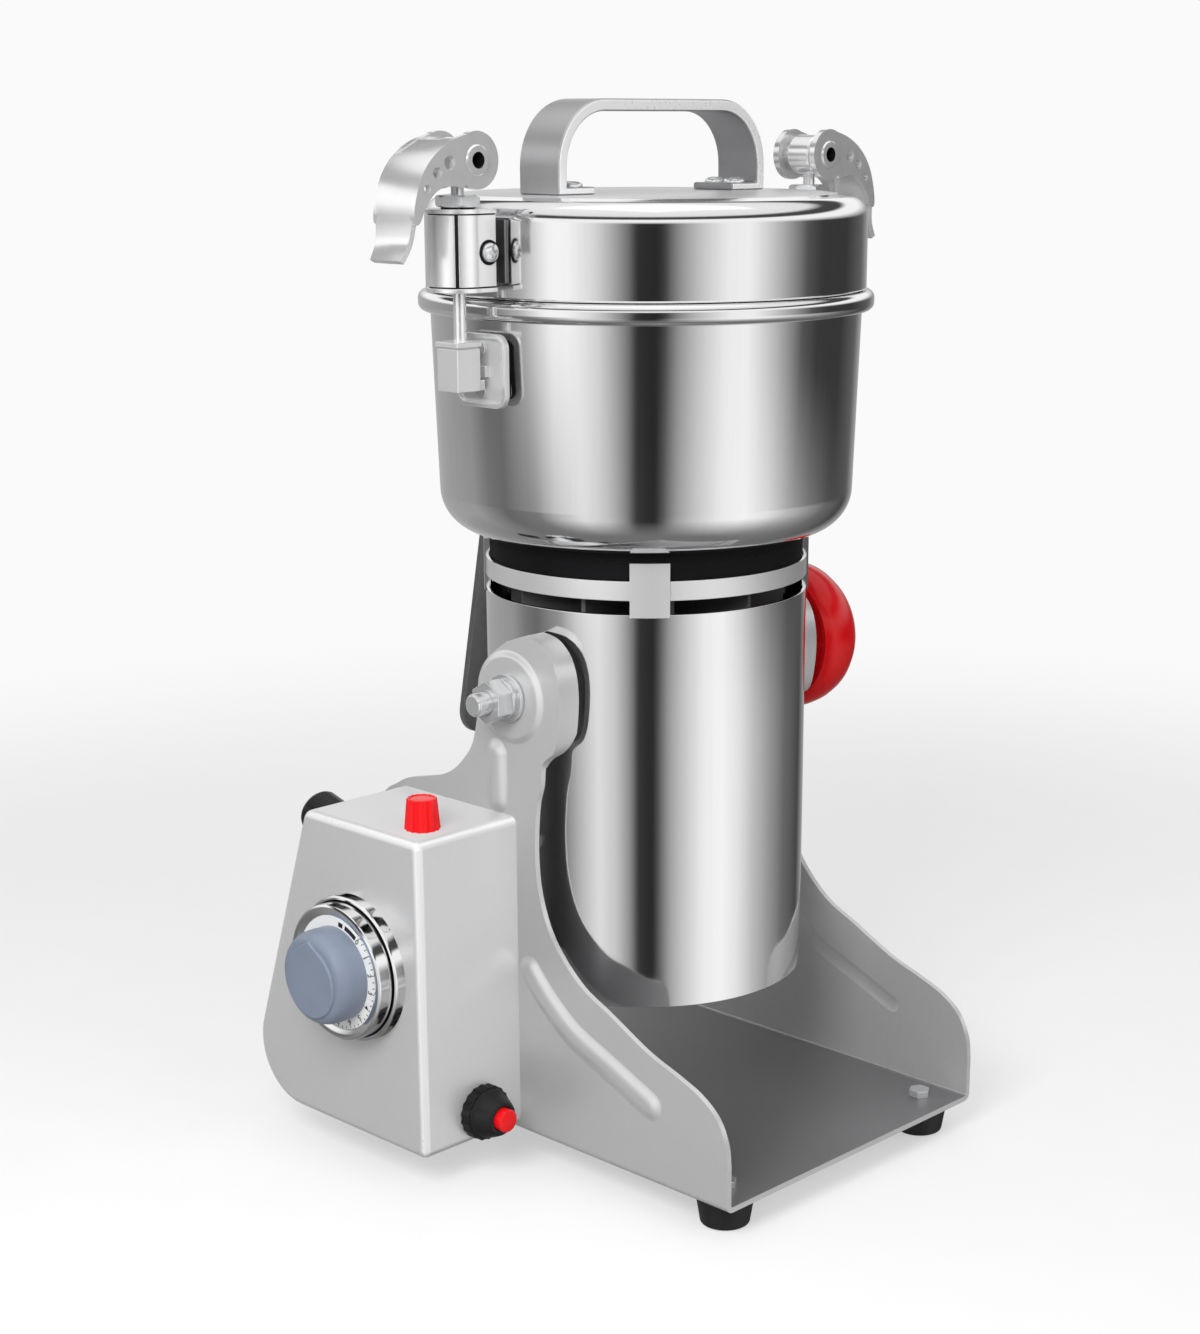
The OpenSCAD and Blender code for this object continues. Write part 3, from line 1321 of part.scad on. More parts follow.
placed() latch_rod();  // latch_rod_left
placed() right() latch_rod();  // latch_rod_right
placed() latch_lever();  // latch_lever_left
placed() right() latch_lever();  // latch_lever_right
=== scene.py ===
"""Looks of a tilting electric grain mill: bent-sheet stand, motor unit, bowl, latched lid and control box.

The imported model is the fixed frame. Each sub-assembly below models or dresses its own pieces in metres,
in the frame's own place, and every piece rides on the body that moves it.
"""
import json
import logging
import math
from contextlib import contextmanager
from dataclasses import dataclass, field
from enum import Enum
from typing import Callable, Iterable, Iterator, Sequence

import bmesh
import bpy
from mathutils import Matrix, Vector


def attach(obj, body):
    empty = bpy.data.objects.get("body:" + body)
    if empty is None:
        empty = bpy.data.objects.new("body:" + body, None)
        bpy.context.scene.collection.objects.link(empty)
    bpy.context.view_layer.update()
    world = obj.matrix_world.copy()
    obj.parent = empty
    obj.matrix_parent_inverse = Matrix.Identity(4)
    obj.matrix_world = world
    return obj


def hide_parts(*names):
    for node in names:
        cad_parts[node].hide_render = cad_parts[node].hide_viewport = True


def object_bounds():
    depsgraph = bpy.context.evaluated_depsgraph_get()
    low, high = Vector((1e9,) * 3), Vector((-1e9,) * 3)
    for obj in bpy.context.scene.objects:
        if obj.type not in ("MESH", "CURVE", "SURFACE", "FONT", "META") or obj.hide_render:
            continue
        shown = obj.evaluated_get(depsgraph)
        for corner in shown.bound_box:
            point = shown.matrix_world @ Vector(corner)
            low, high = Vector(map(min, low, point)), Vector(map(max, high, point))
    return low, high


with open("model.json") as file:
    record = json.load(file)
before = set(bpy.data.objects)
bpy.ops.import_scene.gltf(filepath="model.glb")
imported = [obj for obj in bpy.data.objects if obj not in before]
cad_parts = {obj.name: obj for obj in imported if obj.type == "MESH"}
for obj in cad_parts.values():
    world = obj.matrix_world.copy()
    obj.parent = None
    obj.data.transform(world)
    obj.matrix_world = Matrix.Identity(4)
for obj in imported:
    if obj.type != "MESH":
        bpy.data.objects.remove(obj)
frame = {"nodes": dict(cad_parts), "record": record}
CAD_BOX = [list(corner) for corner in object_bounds()]
LOG = logging.getLogger("grain_mill")

MM = 0.001
AXIS = Vector((-5.5, 8.29, 0.0)) * MM
PIVOT = 171.5
BUMP_DEPTH = 0.0002
Point = tuple[float, float]
Place = tuple[float, float, float]
Socket = bpy.types.NodeSocket
Sockets = bpy.types.bpy_prop_collection
Piece = bpy.types.Object
UP, OUT, AHEAD = Vector((0, 0, 1)), Vector((0, -1, 0)), Vector((1, 0, 0))


class Slot(str, Enum):
    """The record's material slots, by name."""

    SATIN = "satin_steel"
    POLISHED = "polished_steel"
    BRIGHT = "bright_plate"
    ZINC = "zinc_steel"
    DARK = "dark_steel"
    SHAFT = "shaft_steel"
    ALUMINIUM = "cast_aluminium"
    BRONZE = "bush_bronze"
    IRON = "core_iron"
    COPPER = "winding_copper"
    CARBON = "carbon"
    PHENOLIC = "phenolic"
    IVORY = "ivory_plastic"
    BLACK = "black_plastic"
    GREY = "grey_plastic"
    RED = "red_plastic"
    BLUE = "knob_blue"
    DIAL = "dial_white"
    RUBBER = "black_rubber"
    SEAL = "white_rubber"


# Materials


class Graph:
    """Makes and joins the nodes of one material, group or world."""

    def __init__(self, tree: bpy.types.NodeTree) -> None:
        """Keeps the tree that the nodes go into."""
        self.tree = tree

    def add(self, kind: str, inputs: dict | None = None, **settings) -> bpy.types.Node:
        """Adds one node.

        Args:
            kind: The node type without its ShaderNode prefix.
            inputs: Socket values, or sockets to join to them, by name or index.
            settings: Properties of the node.

        Returns:
            The new node.
        """
        node = self.tree.nodes.new("ShaderNode" + kind)
        for name, value in settings.items():
            setattr(node, name, value)
        for name, value in (inputs or {}).items():
            if isinstance(value, Socket):
                self.tree.links.new(value, node.inputs[name])
            else:
                node.inputs[name].default_value = value
        return node

    def math(self, operation: str, a, b) -> Socket:
        """Returns the result of a Math node on two numbers or sockets."""
        return self.add("Math", {0: a, 1: b}, operation=operation).outputs[0]

    def remap(self, value, low: float, high: float, to_low: float = 0.0, to_high: float = 1.0) -> Socket:
        """Returns value mapped from one range to another and held inside it."""
        return self.add("MapRange", {0: value, 1: low, 2: high, 3: to_low, 4: to_high}).outputs[0]

    def blend(self, share, a, b) -> Socket:
        """Returns the colour between a and b at the given share."""
        return self.add("Mix", {0: share, 6: a, 7: b}, data_type="RGBA").outputs[2]

    def noise(self, place, **inputs) -> Socket:
        """Returns a noise read at a place, with its inputs given by name."""
        return self.add("TexNoise", {"Vector": place, **inputs}).outputs[0]

    def ramp(self, value, stops: Sequence[Point]) -> Socket:
        """Returns a grey ramp of (place, brightness) stops read at value."""
        node = self.add("ValToRGB", {0: value})
        bar = node.color_ramp.elements
        while len(bar) > 1:
            bar.remove(bar[-1])
        for i, (place, grey) in enumerate(stops):
            stop = bar[0] if i == 0 else bar.new(place)
            stop.position, stop.color = place, (grey, grey, grey, 1.0)
        return node.outputs[0]


def new_group(name: str, inputs: dict[str, float],
              outputs: Sequence[str]) -> tuple[Graph, Sockets, Sockets]:
    """Makes an empty node group with a Vector input, named number inputs and number outputs.

    Args:
        name: The group's name.
        inputs: Default of each number input, by name.
        outputs: Names of the number outputs.

    Returns:
        The graph, the sockets of its input node and those of its output node.
    """
    tree = bpy.data.node_groups.new(name, "ShaderNodeTree")
    tree.interface.new_socket(name="Vector", in_out="INPUT", socket_type="NodeSocketVector")
    for label, default in inputs.items():
        socket = tree.interface.new_socket(name=label, in_out="INPUT", socket_type="NodeSocketFloat")
        socket.default_value = default
    for label in outputs:
        tree.interface.new_socket(name=label, in_out="OUTPUT", socket_type="NodeSocketFloat")
    return Graph(tree), tree.nodes.new("NodeGroupInput").outputs, tree.nodes.new("NodeGroupOutput").inputs


def make_grain_group() -> bpy.types.NodeTree:
    """Builds the fine streaked grain that rolled, brushed and turned metal share."""
    inputs = {"Scale": 300.0, "Long": 0.05, "Smudge": 14.0}
    g, source, sink = new_group("metal_grain", inputs, ("Grain", "Smudge"))
    stretch = g.add("CombineXYZ", {0: 1.0, 1: 1.0, 2: source["Long"]}).outputs[0]
    along = g.add("VectorMath", {0: source["Vector"], 1: stretch}, operation="MULTIPLY").outputs[0]
    fine = g.noise(along, Scale=source["Scale"], Detail=4.0, Roughness=0.62)
    cloud = g.noise(source["Vector"], Scale=source["Smudge"], Detail=3.0, Roughness=0.55, Distortion=0.6)
    g.tree.links.new(g.remap(fine, 0.3, 0.7), sink["Grain"])
    g.tree.links.new(g.remap(cloud, 0.35, 0.68), sink["Smudge"])
    return g.tree


def make_speckle_group() -> bpy.types.NodeTree:
    """Builds the small pits and tone changes that cast, moulded and rubber surfaces share."""
    g, source, sink = new_group("moulded_speckle", {"Scale": 900.0, "Cloud": 40.0}, ("Pits", "Tone"))
    for output, size, detail in (("Pits", "Scale", 2.0), ("Tone", "Cloud", 4.0)):
        speck = g.noise(source["Vector"], Scale=source[size], Detail=detail)
        g.tree.links.new(g.remap(speck, 0.35, 0.65), sink[output])
    return g.tree


@dataclass(frozen=True)
class Finish:
    """What every finish has: a name, a colour, and how far its tone and gloss wander."""

    name: str
    colour: tuple[float, float, float]
    roughness: float
    roughness_play: float = 0.06
    tone_play: float = 0.06
    bump: float = 0.05

    def build(self) -> bpy.types.Material:
        """Makes the material; each kind of finish makes its own tone and relief.

        Returns:
            The new material.
        """
        material = bpy.data.materials.new("finish_" + self.name)
        material.use_nodes = True
        material.diffuse_color = (*self.colour, 1.0)
        g = Graph(material.node_tree)
        tone, height = self.pattern(g, g.add("TexCoord").outputs["Object"])
        relief = g.add("Bump", {"Height": height, "Strength": self.bump, "Distance": BUMP_DEPTH})
        dim, light = (tuple(min(1.0, c * (1 + k * self.tone_play)) for c in self.colour) for k in (-1, 1))
        low, high = (self.roughness + k * self.roughness_play / 2 for k in (-1, 1))
        shader = g.tree.nodes["Principled BSDF"]
        for name, value in (("Base Color", g.blend(tone, (*dim, 1.0), (*light, 1.0))),
                            ("Roughness", g.remap(tone, 0.0, 1.0, low, high)),
                            ("Normal", relief.outputs[0])):
            g.tree.links.new(value, shader.inputs[name])
        for name, value in self.constants().items():
            shader.inputs[name].default_value = value
        return material

    def pattern(self, g: Graph, place: Socket) -> tuple[Socket, Socket]:
        """Returns the share of light tone and the height of the relief at a place."""
        raise NotImplementedError

    def constants(self) -> dict[str, float]:
        """Returns the shader's plain values."""
        raise NotImplementedError


@dataclass(frozen=True)
class Metal(Finish):
    """Bare or plated metal with a grain that runs one way."""

    scale: float = 300.0
    long: float = 0.05
    metallic: float = 1.0

    def pattern(self, g: Graph, place: Socket) -> tuple[Socket, Socket]:
        """Mixes the shared grain group's streaks and smudges; the streaks are the relief."""
        grain = g.add("Group", node_tree=GROUPS["grain"])
        for name, value in (("Scale", self.scale), ("Long", self.long)):
            grain.inputs[name].default_value = value
        g.tree.links.new(place, grain.inputs["Vector"])
        streaks, smudges = (g.math("MULTIPLY", grain.outputs[i], share)
                            for i, share in ((0, 0.6), (1, 0.4)))
        return g.math("ADD", streaks, smudges), grain.outputs["Grain"]

    def constants(self) -> dict[str, float]:
        """Returns how metallic it is."""
        return {"Metallic": self.metallic}


@dataclass(frozen=True)
class Moulded(Finish):
    """Plastic, rubber, enamel and phenolic: a dielectric with pits and clouds of tone."""

    scale: float = 900.0
    coat: float = 0.0
    specular: float = 0.5

    def pattern(self, g: Graph, place: Socket) -> tuple[Socket, Socket]:
        """Takes the tone and the pits from the shared speckle group."""
        speckle = g.add("Group", node_tree=GROUPS["speckle"])
        speckle.inputs["Scale"].default_value = self.scale
        g.tree.links.new(place, speckle.inputs["Vector"])
        return speckle.outputs["Tone"], speckle.outputs["Pits"]

    def constants(self) -> dict[str, float]:
        """Returns its coat and how strongly it mirrors."""
        return {"Metallic": 0.0, "Coat Weight": self.coat, "Specular IOR Level": self.specular}


GROUPS: dict[str, bpy.types.NodeTree] = {"grain": make_grain_group(), "speckle": make_speckle_group()}

FINISHES: dict[Slot, Finish] = {
    Slot.SATIN: Metal("satin_steel", (0.76, 0.76, 0.765), 0.33, 0.05, 0.015, 0.012, 700.0, 1.0, 0.5),
    Slot.POLISHED: Metal("polished_steel", (0.90, 0.90, 0.905), 0.09, 0.04, 0.02, 0.004, 500.0, 0.03),
    Slot.BRIGHT: Metal("bright_plate", (0.94, 0.94, 0.945), 0.19, 0.08, 0.03, 0.03, 350.0, 1.0, 0.7),
    Slot.ZINC: Metal("zinc_plate", (0.84, 0.85, 0.86), 0.20, 0.10, 0.05, 0.04, 500.0, 1.0, 0.75),
    Slot.DARK: Metal("dark_steel", (0.42, 0.42, 0.43), 0.32, 0.10, 0.10, 0.05, 300.0, 1.0),
    Slot.SHAFT: Metal("ground_shaft", (0.62, 0.62, 0.63), 0.25, 0.10, 0.05, 0.05, 600.0, 8.0),
    Slot.ALUMINIUM: Metal("cast_aluminium", (0.55, 0.56, 0.57), 0.48, 0.14, 0.12, 0.25, 240.0, 1.0),
    Slot.BRONZE: Metal("bush_bronze", (0.60, 0.42, 0.22), 0.35, 0.10, 0.10, 0.06, 400.0, 1.0),
    Slot.IRON: Metal("laminated_iron", (0.20, 0.20, 0.21), 0.50, 0.12, 0.15, 0.30, 60.0, 18.0),
    Slot.COPPER: Metal("winding_copper", (0.62, 0.27, 0.12), 0.34, 0.10, 0.14, 0.30, 120.0, 9.0),
    Slot.CARBON: Moulded("carbon", (0.03, 0.03, 0.032), 0.55, 0.1, 0.2, 0.2),
    Slot.PHENOLIC: Moulded("phenolic", (0.16, 0.07, 0.03), 0.42, 0.1, 0.2, 0.15),
    Slot.IVORY: Moulded("ivory_plastic", (0.72, 0.66, 0.5), 0.4, 0.1, 0.05, 0.08),
    Slot.BLACK: Moulded("black_plastic", (0.012, 0.012, 0.013), 0.34, 0.12, 0.25, 0.10, specular=0.28),
    Slot.GREY: Moulded("grey_plastic", (0.16, 0.16, 0.165), 0.45, 0.1, 0.15, 0.10),
    Slot.RED: Moulded("red_plastic", (0.88, 0.006, 0.010), 0.22, 0.08, 0.06, 0.05, coat=0.1, specular=0.3),
    Slot.BLUE: Moulded("slate_blue_plastic", (0.225, 0.265, 0.345), 0.36, 0.1, 0.06, 0.08),
    Slot.DIAL: Moulded("dial_enamel", (0.94, 0.94, 0.93), 0.3, 0.06, 0.03, 0.03),
    Slot.RUBBER: Moulded("black_rubber", (0.014, 0.014, 0.014), 0.55, 0.12, 0.25, 0.25, scale=600.0),
    Slot.SEAL: Moulded("silicone_white", (0.78, 0.77, 0.74), 0.5, 0.1, 0.05, 0.1),
}
MATERIALS: dict[Slot, bpy.types.Material] = {slot: finish.build() for slot, finish in FINISHES.items()}
# Painted shade: a darker copy of the satin steel for the U's floor, the near cheek's inner side and the
# strap's underside.
INNER_PAINTED_SHADE = Metal("satin_steel_painted_shading", (0.38, 0.38, 0.39), 0.40, 0.08, 0.04, 0.02, 500.0, 1.0, 0.85).build()
# Painted highlight: a pale, barely metallic copy of the satin steel for the bright lines along folds and
# cut edges.
PAINTED_HIGHLIGHT = Metal("painted_edge_highlight", (0.93, 0.93, 0.935), 0.28, 0.02, 0.006, 0.002, 700.0, 1.0, 0.25).build()
COVER = Metal("cover_sheet", (0.86, 0.86, 0.865), 0.33, 0.05, 0.015, 0.012, 700.0, 1.0, 0.5).build()
# Painted shading: a separately toned copy of the satin steel for the far cheek's inner side.
FAR_CHEEK_PAINTED_SHADING = Metal("satin_steel_painted_shading", (0.78, 0.78, 0.785), 0.38, 0.06, 0.03, 0.02, 500.0, 1.0, 0.6).build()
# Painted shade: a darker copy of the satin steel that covers the lid strap.
SHADED = Metal("satin_steel_painted_shade", (0.56, 0.56, 0.57), 0.38, 0.08, 0.03, 0.02, 500.0, 1.0, 0.8).build()
# Painted shade: a near-black matte for grooves, gaps, necks and bores where shade falls.
BLACK_PAINTED_SHADE = Moulded("painted_recess_shade", (0.008, 0.008, 0.009), 0.6, 0.1, 0.2, 0.1, specular=0.1).build()


# Modelling tools


def added(operator: Callable[..., set[str]], **settings) -> Piece:
    """Adds a primitive with nothing else selected and returns it."""
    bpy.ops.object.select_all(action="DESELECT")
    operator(**settings)
    return bpy.context.object


def solo(obj: Piece) -> None:
    """Selects obj alone and makes it active."""
    bpy.ops.object.select_all(action="DESELECT")
    obj.select_set(True)
    bpy.context.view_layer.objects.active = obj


@contextmanager
def editing(obj: Piece, mode: str = "VERT") -> Iterator[None]:
    """Puts obj in edit mode with everything selected, and takes it out at the end."""
    solo(obj)
    bpy.ops.object.mode_set(mode="EDIT")
    bpy.ops.mesh.select_mode(type=mode)
    bpy.ops.mesh.select_all(action="SELECT")
    try:
        yield
    finally:
        bpy.ops.object.mode_set(mode="OBJECT")


def apply_modifier(obj: Piece, kind: str, **settings) -> None:
    """Adds a modifier with the given settings and applies it."""
    solo(obj)
    modifier = obj.modifiers.new(kind.lower(), kind)
    for name, value in settings.items():
        setattr(modifier, name, value)
    bpy.ops.object.modifier_apply(modifier=modifier.name)


def soften(obj: Piece, width: float, segments: int, limit: float) -> None:
    """Rounds the edges past a limit in degrees by a width in millimetres."""
    apply_modifier(obj, "BEVEL", width=width * MM, segments=segments, limit_method="ANGLE",
                   angle_limit=math.radians(limit), use_clamp_overlap=True)


def smooth(obj: Piece, angle: float) -> None:
    """Shades obj smooth, with sharp edges past the angle in degrees and flat faces kept flat."""
    solo(obj)
    bpy.ops.object.shade_smooth_by_angle(angle=math.radians(angle))
    apply_modifier(obj, "WEIGHTED_NORMAL", keep_sharp=True, weight=50)


def dress(obj: Piece, slot: Slot) -> None:
    """Gives obj the finish of a material slot as its only material."""
    obj.data.materials.clear()
    obj.data.materials.append(MATERIALS[slot])


def slot_of(node: str) -> Slot:
    """Returns the material slot that the record gives a CAD node."""
    return Slot(NODE_SLOT[node])


def finish(obj: Piece, name: str, *nodes: str, slot: Slot | None = None, body: str = "",
           soft: float = 0.0, limit: float = 30.0, angle: float = 32.0) -> Piece:
    """Rounds, shades and dresses a new piece, and ties it to its body and to the nodes that it replaces.

    Args:
        obj: The modelled piece.
        name: Its name.
        nodes: CAD nodes that it replaces; none for an added detail.
        slot: Its finish, or that of the first node.
        body: The body it rides on, or that of the first node.
        soft: Width of the rounding on its edges, in millimetres.
        limit: Least angle of an edge that is rounded, in degrees.
        angle: Angle past which an edge stays sharp, in degrees.

    Returns:
        The same object.
    """
    obj.name = obj.data.name = name
    if soft:
        soften(obj, soft, 3, limit)
    smooth(obj, angle)
    dress(obj, slot or slot_of(nodes[0]))
    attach(obj, body or BODY_OF[nodes[0]])
    if nodes:
        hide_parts(*nodes)
    return obj


def at(x: float, y: float, z: float) -> Vector:
    """Returns the frame's point for a place in millimetres from the motor axis and the floor."""
    return AXIS + Vector((x, y, z)) * MM


def side_way(depth: float) -> Vector:
    """Returns a depth in millimetres towards the mill's right side."""
    return Vector((0, depth, 0)) * MM


def arc(centre: Point, radius: float, start: float, end: float, steps: int = 8) -> list[Point]:
    """Returns points of an arc between two angles in degrees."""
    turns = [math.radians(start + (end - start) * i / steps) for i in range(steps + 1)]
    return [(centre[0] + radius * math.cos(t), centre[1] + radius * math.sin(t)) for t in turns]


def curve(points: Sequence[Point], steps: int) -> list[Point]:
    """Returns a smooth curve through the points, with some steps between each two."""
    out: list[Point] = []
    last = len(points) - 1
    for i in range(last):
        a, b, c, d = points[max(0, i - 1)], points[i], points[i + 1], points[min(last, i + 2)]
        for k in range(steps):
            t = k / steps
            out.append(tuple(0.5 * (2 * q + (r - p) * t + (2 * p - 5 * q + 4 * r - w) * t * t
                                    + (3 * q - p - 3 * r + w) * t ** 3) for p, q, r, w in zip(a, b, c, d)))
    return [*out, tuple(points[last])]


def beside(line: Sequence[Point], gap: float) -> list[Point]:
    """Returns a line pushed sideways by a gap, to the right of its way."""
    out = []
    for i in range(len(line)):
        a, b = line[max(0, i - 1)], line[min(len(line) - 1, i + 1)]
        dx, dz = b[0] - a[0], b[1] - a[1]
        size = math.hypot(dx, dz)
        out.append((line[i][0] + gap * dz / size, line[i][1] - gap * dx / size))
    return out


def outline(points: Sequence[Vector], filled: bool = True) -> Piece:
    """Adds a circle with one corner for each point and moves the corners there.

    Args:
        points: The outline's corners in the frame.
        filled: Whether the outline has a face.

    Returns:
        The flat outline.
    """
    obj = added(bpy.ops.mesh.primitive_circle_add, vertices=len(points), radius=0.01,
                fill_type="NGON" if filled else "NOTHING")
    for corner, point in zip(obj.data.vertices, points):
        corner.co = point
    return obj


def plate(points: Sequence[Vector], depth: Vector) -> Piece:
    """Extrudes a filled outline by a depth in metres."""
    obj = outline(points)
    with editing(obj, "FACE"):
        bpy.ops.mesh.extrude_region_move(TRANSFORM_OT_translate={"value": depth})
        bpy.ops.mesh.select_all(action="SELECT")
        bpy.ops.mesh.normals_make_consistent(inside=False)
    return obj


def block(low: Place, high: Place) -> Piece:
    """Adds a cube and stretches it between two corners in millimetres from the motor axis."""
    obj = added(bpy.ops.mesh.primitive_cube_add, size=1.0)
    a, b = at(*low), at(*high)
    for corner in obj.data.vertices:
        corner.co = Vector(a[i] if corner.co[i] < 0 else b[i] for i in range(3))
    return obj


def lathe(profile: Sequence[Point], steps: int = 96) -> Piece:
    """Spins a closed profile of (radius, height) in millimetres round the Z axis."""
    obj = outline([Vector((r, 0, h)) * MM for r, h in profile], filled=False)
    with editing(obj):
        bpy.ops.mesh.spin(steps=steps, angle=math.tau, center=(0, 0, 0), axis=(0, 0, 1))
        bpy.ops.mesh.select_all(action="SELECT")
        bpy.ops.mesh.remove_doubles(threshold=1e-6)
        bpy.ops.mesh.dissolve_degenerate(threshold=1e-7)
        bpy.ops.mesh.delete_loose(use_verts=True, use_edges=True, use_faces=False)
        bpy.ops.mesh.select_all(action="SELECT")
        bpy.ops.mesh.normals_make_consistent(inside=False)
    return obj


def prism(sides: int, radius: float, low: float, high: float, top: float | None = None,
          flute: float = 1.0) -> Piece:
    """Adds an upright prism or cone, whose every second edge may be drawn in as flutes.

    Args:
        sides: Number of edges round it.
        radius: Radius at its foot, in millimetres.
        low: Height of its foot.
        high: Height of its top.
        top: Radius at its top, or that of its foot.
        flute: Share of the radius at every second edge.

    Returns:
        The prism, standing on the Z axis.
    """
    obj = added(bpy.ops.mesh.primitive_cone_add, vertices=sides, radius1=radius * MM,
                radius2=(top or radius) * MM, depth=(high - low) * MM)
    obj.data.transform(Matrix.Translation((0, 0, (high + low) / 2 * MM)))
    for corner in obj.data.vertices:
        turn = round(math.atan2(corner.co.y, corner.co.x) / (math.tau / sides))
        share = flute if turn % 2 else 1.0
        corner.co.x, corner.co.y = corner.co.x * share, corner.co.y * share
    return obj


def seat(obj: Piece, place: Vector, axis: Vector = UP) -> Piece:
    """Turns a piece made on the Z axis so that it stands on place and points along axis."""
    turn = UP.rotation_difference(axis).to_matrix().to_4x4()
    obj.data.transform(Matrix.Translation(place) @ turn)
    return obj


def join(parts: Sequence[Piece]) -> Piece:
    """Makes one object of several."""
    solo(parts[0])
    for part in parts:
        part.select_set(True)
    bpy.ops.object.join()
    return bpy.context.object


def combine(obj: Piece, others: Iterable[Piece], operation: str) -> Piece:
    """Adds, cuts or keeps the common part of obj and each other solid, and removes the others."""
    for other in others:
        apply_modifier(obj, "BOOLEAN", operation=operation, object=other, solver="EXACT")
        bpy.data.objects.remove(other)
    return obj


def bevel_edges(obj: Piece, width: float, segments: int,
                chosen: Callable[[bmesh.types.BMEdge], bool]) -> None:
    """Rounds the edges that a test chooses, by a width in millimetres."""
    with editing(obj, "EDGE"):
        bpy.ops.mesh.select_all(action="DESELECT")
        shape = bmesh.from_edit_mesh(obj.data)
        for edge in shape.edges:
            edge.select_set(chosen(edge))
        bmesh.update_edit_mesh(obj.data)
        bpy.ops.mesh.bevel(offset=width * MM, segments=segments, affect="EDGES", clamp_overlap=True)


def pressed(obj: Piece, face: Vector, steps: Sequence[Point]) -> Piece:
    """Insets and raises a plate's face that looks along a direction, step by step, for a soft pressed form.

    Args:
        obj: The plate.
        face: Where the face looks.
        steps: Inset and rise of each step, in millimetres.

    Returns:
        The same object.
    """
    with editing(obj, "FACE"):
        bpy.ops.mesh.select_all(action="DESELECT")
        shape = bmesh.from_edit_mesh(obj.data)
        for side in shape.faces:
            side.select_set(side.normal.dot(face) > 0.99)
        bmesh.update_edit_mesh(obj.data)
        for inset, rise in steps:
            bpy.ops.mesh.inset(thickness=inset * MM, depth=rise * MM)
    return obj


def repaint(obj: Piece, material: bpy.types.Material,
            chosen: Callable[[Vector, Vector], bool] = lambda p, normal: True) -> None:
    """Gives one more material to some faces.

    Args:
        obj: The piece.
        material: The material.
        chosen: Picks a face by its place in millimetres from the motor axis and its normal.
    """
    obj.data.materials.append(material)
    for face in obj.data.polygons:
        if chosen((face.center - AXIS) / MM, face.normal):
            face.material_index = len(obj.data.materials) - 1


def cross_screw(place: Vector, axis: Vector, diameter: float, height: float) -> Piece:
    """Models a domed screw head with a cross recess.

    Args:
        place: Middle of the head's seat.
        axis: Where the head looks.
        diameter: Its diameter, in millimetres.
        height: Its height, in millimetres.

    Returns:
        The head.
    """
    dome = ((0, 0), (1, 0), (1, 0.35), (0.93, 0.66), (0.72, 0.88), (0.4, 1), (0, 1))
    head = lathe([(diameter / 2 * r, height * h) for r, h in dome], 32)
    arms = []
    for long, wide in ((0.62, 0.17), (0.17, 0.62)):
        arm = added(bpy.ops.mesh.primitive_cube_add, size=1.0)
        arm.data.transform(Matrix.Diagonal((long * diameter * MM, wide * diameter * MM, height * MM, 1.0)))
        arm.data.transform(Matrix.Translation((0, 0, height * 0.95 * MM)))
        arms.append(arm)
    return seat(combine(head, arms, "DIFFERENCE"), place, axis)


def nut(place: Vector, axis: Vector, flats: float, height: float) -> Piece:
    """Models a hexagon nut with rounded corners on its two faces."""
    edge = flats / math.sqrt(3)
    body = prism(6, edge, 0.0, height)
    turned = lathe([(0, 0), (edge - 1.0, 0), (edge, 0.7), (edge, height - 0.7), (edge - 1.0, height),
                    (0, height)], 48)
    return seat(combine(body, [turned], "INTERSECT"), place, axis)


def rounded(node: str, width: float) -> Piece:
    """Copies a CAD node, joins its loose triangles into whole faces and rounds its edges.

    Args:
        node: The CAD node.
        width: Width of the rounding, in millimetres.

    Returns:
        The new piece, which replaces the node.
    """
    source = frame["nodes"][node]
    piece = bpy.data.objects.new(node + ".dressed", source.data.copy())
    bpy.context.scene.collection.objects.link(piece)
    with editing(piece):
        bpy.ops.mesh.customdata_custom_splitnormals_clear()
        bpy.ops.mesh.remove_doubles(threshold=1e-6)
        bpy.ops.mesh.dissolve_limited(angle_limit=math.radians(0.4))
    soften(piece, width, 2, 30.0)
    return finish(piece, piece.name, node)


def plain(node: str) -> Piece:
    """Keeps a CAD node that lies inside the mill and gives it its finish."""
    piece = frame["nodes"][node]
    piece.data.materials.clear()
    piece.data.materials.append(MATERIALS[slot_of(node)])
    return piece


BODY_OF: dict[str, str] = {n: b for b, ns in frame["record"]["behaviour"]["bodies"].items() for n in ns}
NODE_SLOT: dict[str, str] = {n: o.data.materials[0].name.split(".")[0] for n, o in frame["nodes"].items()}


# Sub-assemblies


@dataclass
class SubAssembly:
    """A group of pieces that are modelled together."""

    name: str
    soft_edges: dict[str, float] = field(default_factory=dict)
    hidden: tuple[str, ...] = ()
    pieces: list[Piece] = field(default_factory=list)

    def model(self) -> list[Piece]:
        """Models the pieces that are made anew."""
        return []

    def build(self) -> list[Piece]:
        """Models the new pieces, rounds the copied nodes and dresses the hidden ones.

        Returns:
            Every piece that was made or dressed.
        """
        self.pieces += self.model()
        self.pieces += [rounded(node, width) for node, width in self.soft_edges.items()]
        self.pieces += [plain(node) for node in self.hidden]
        return self.pieces


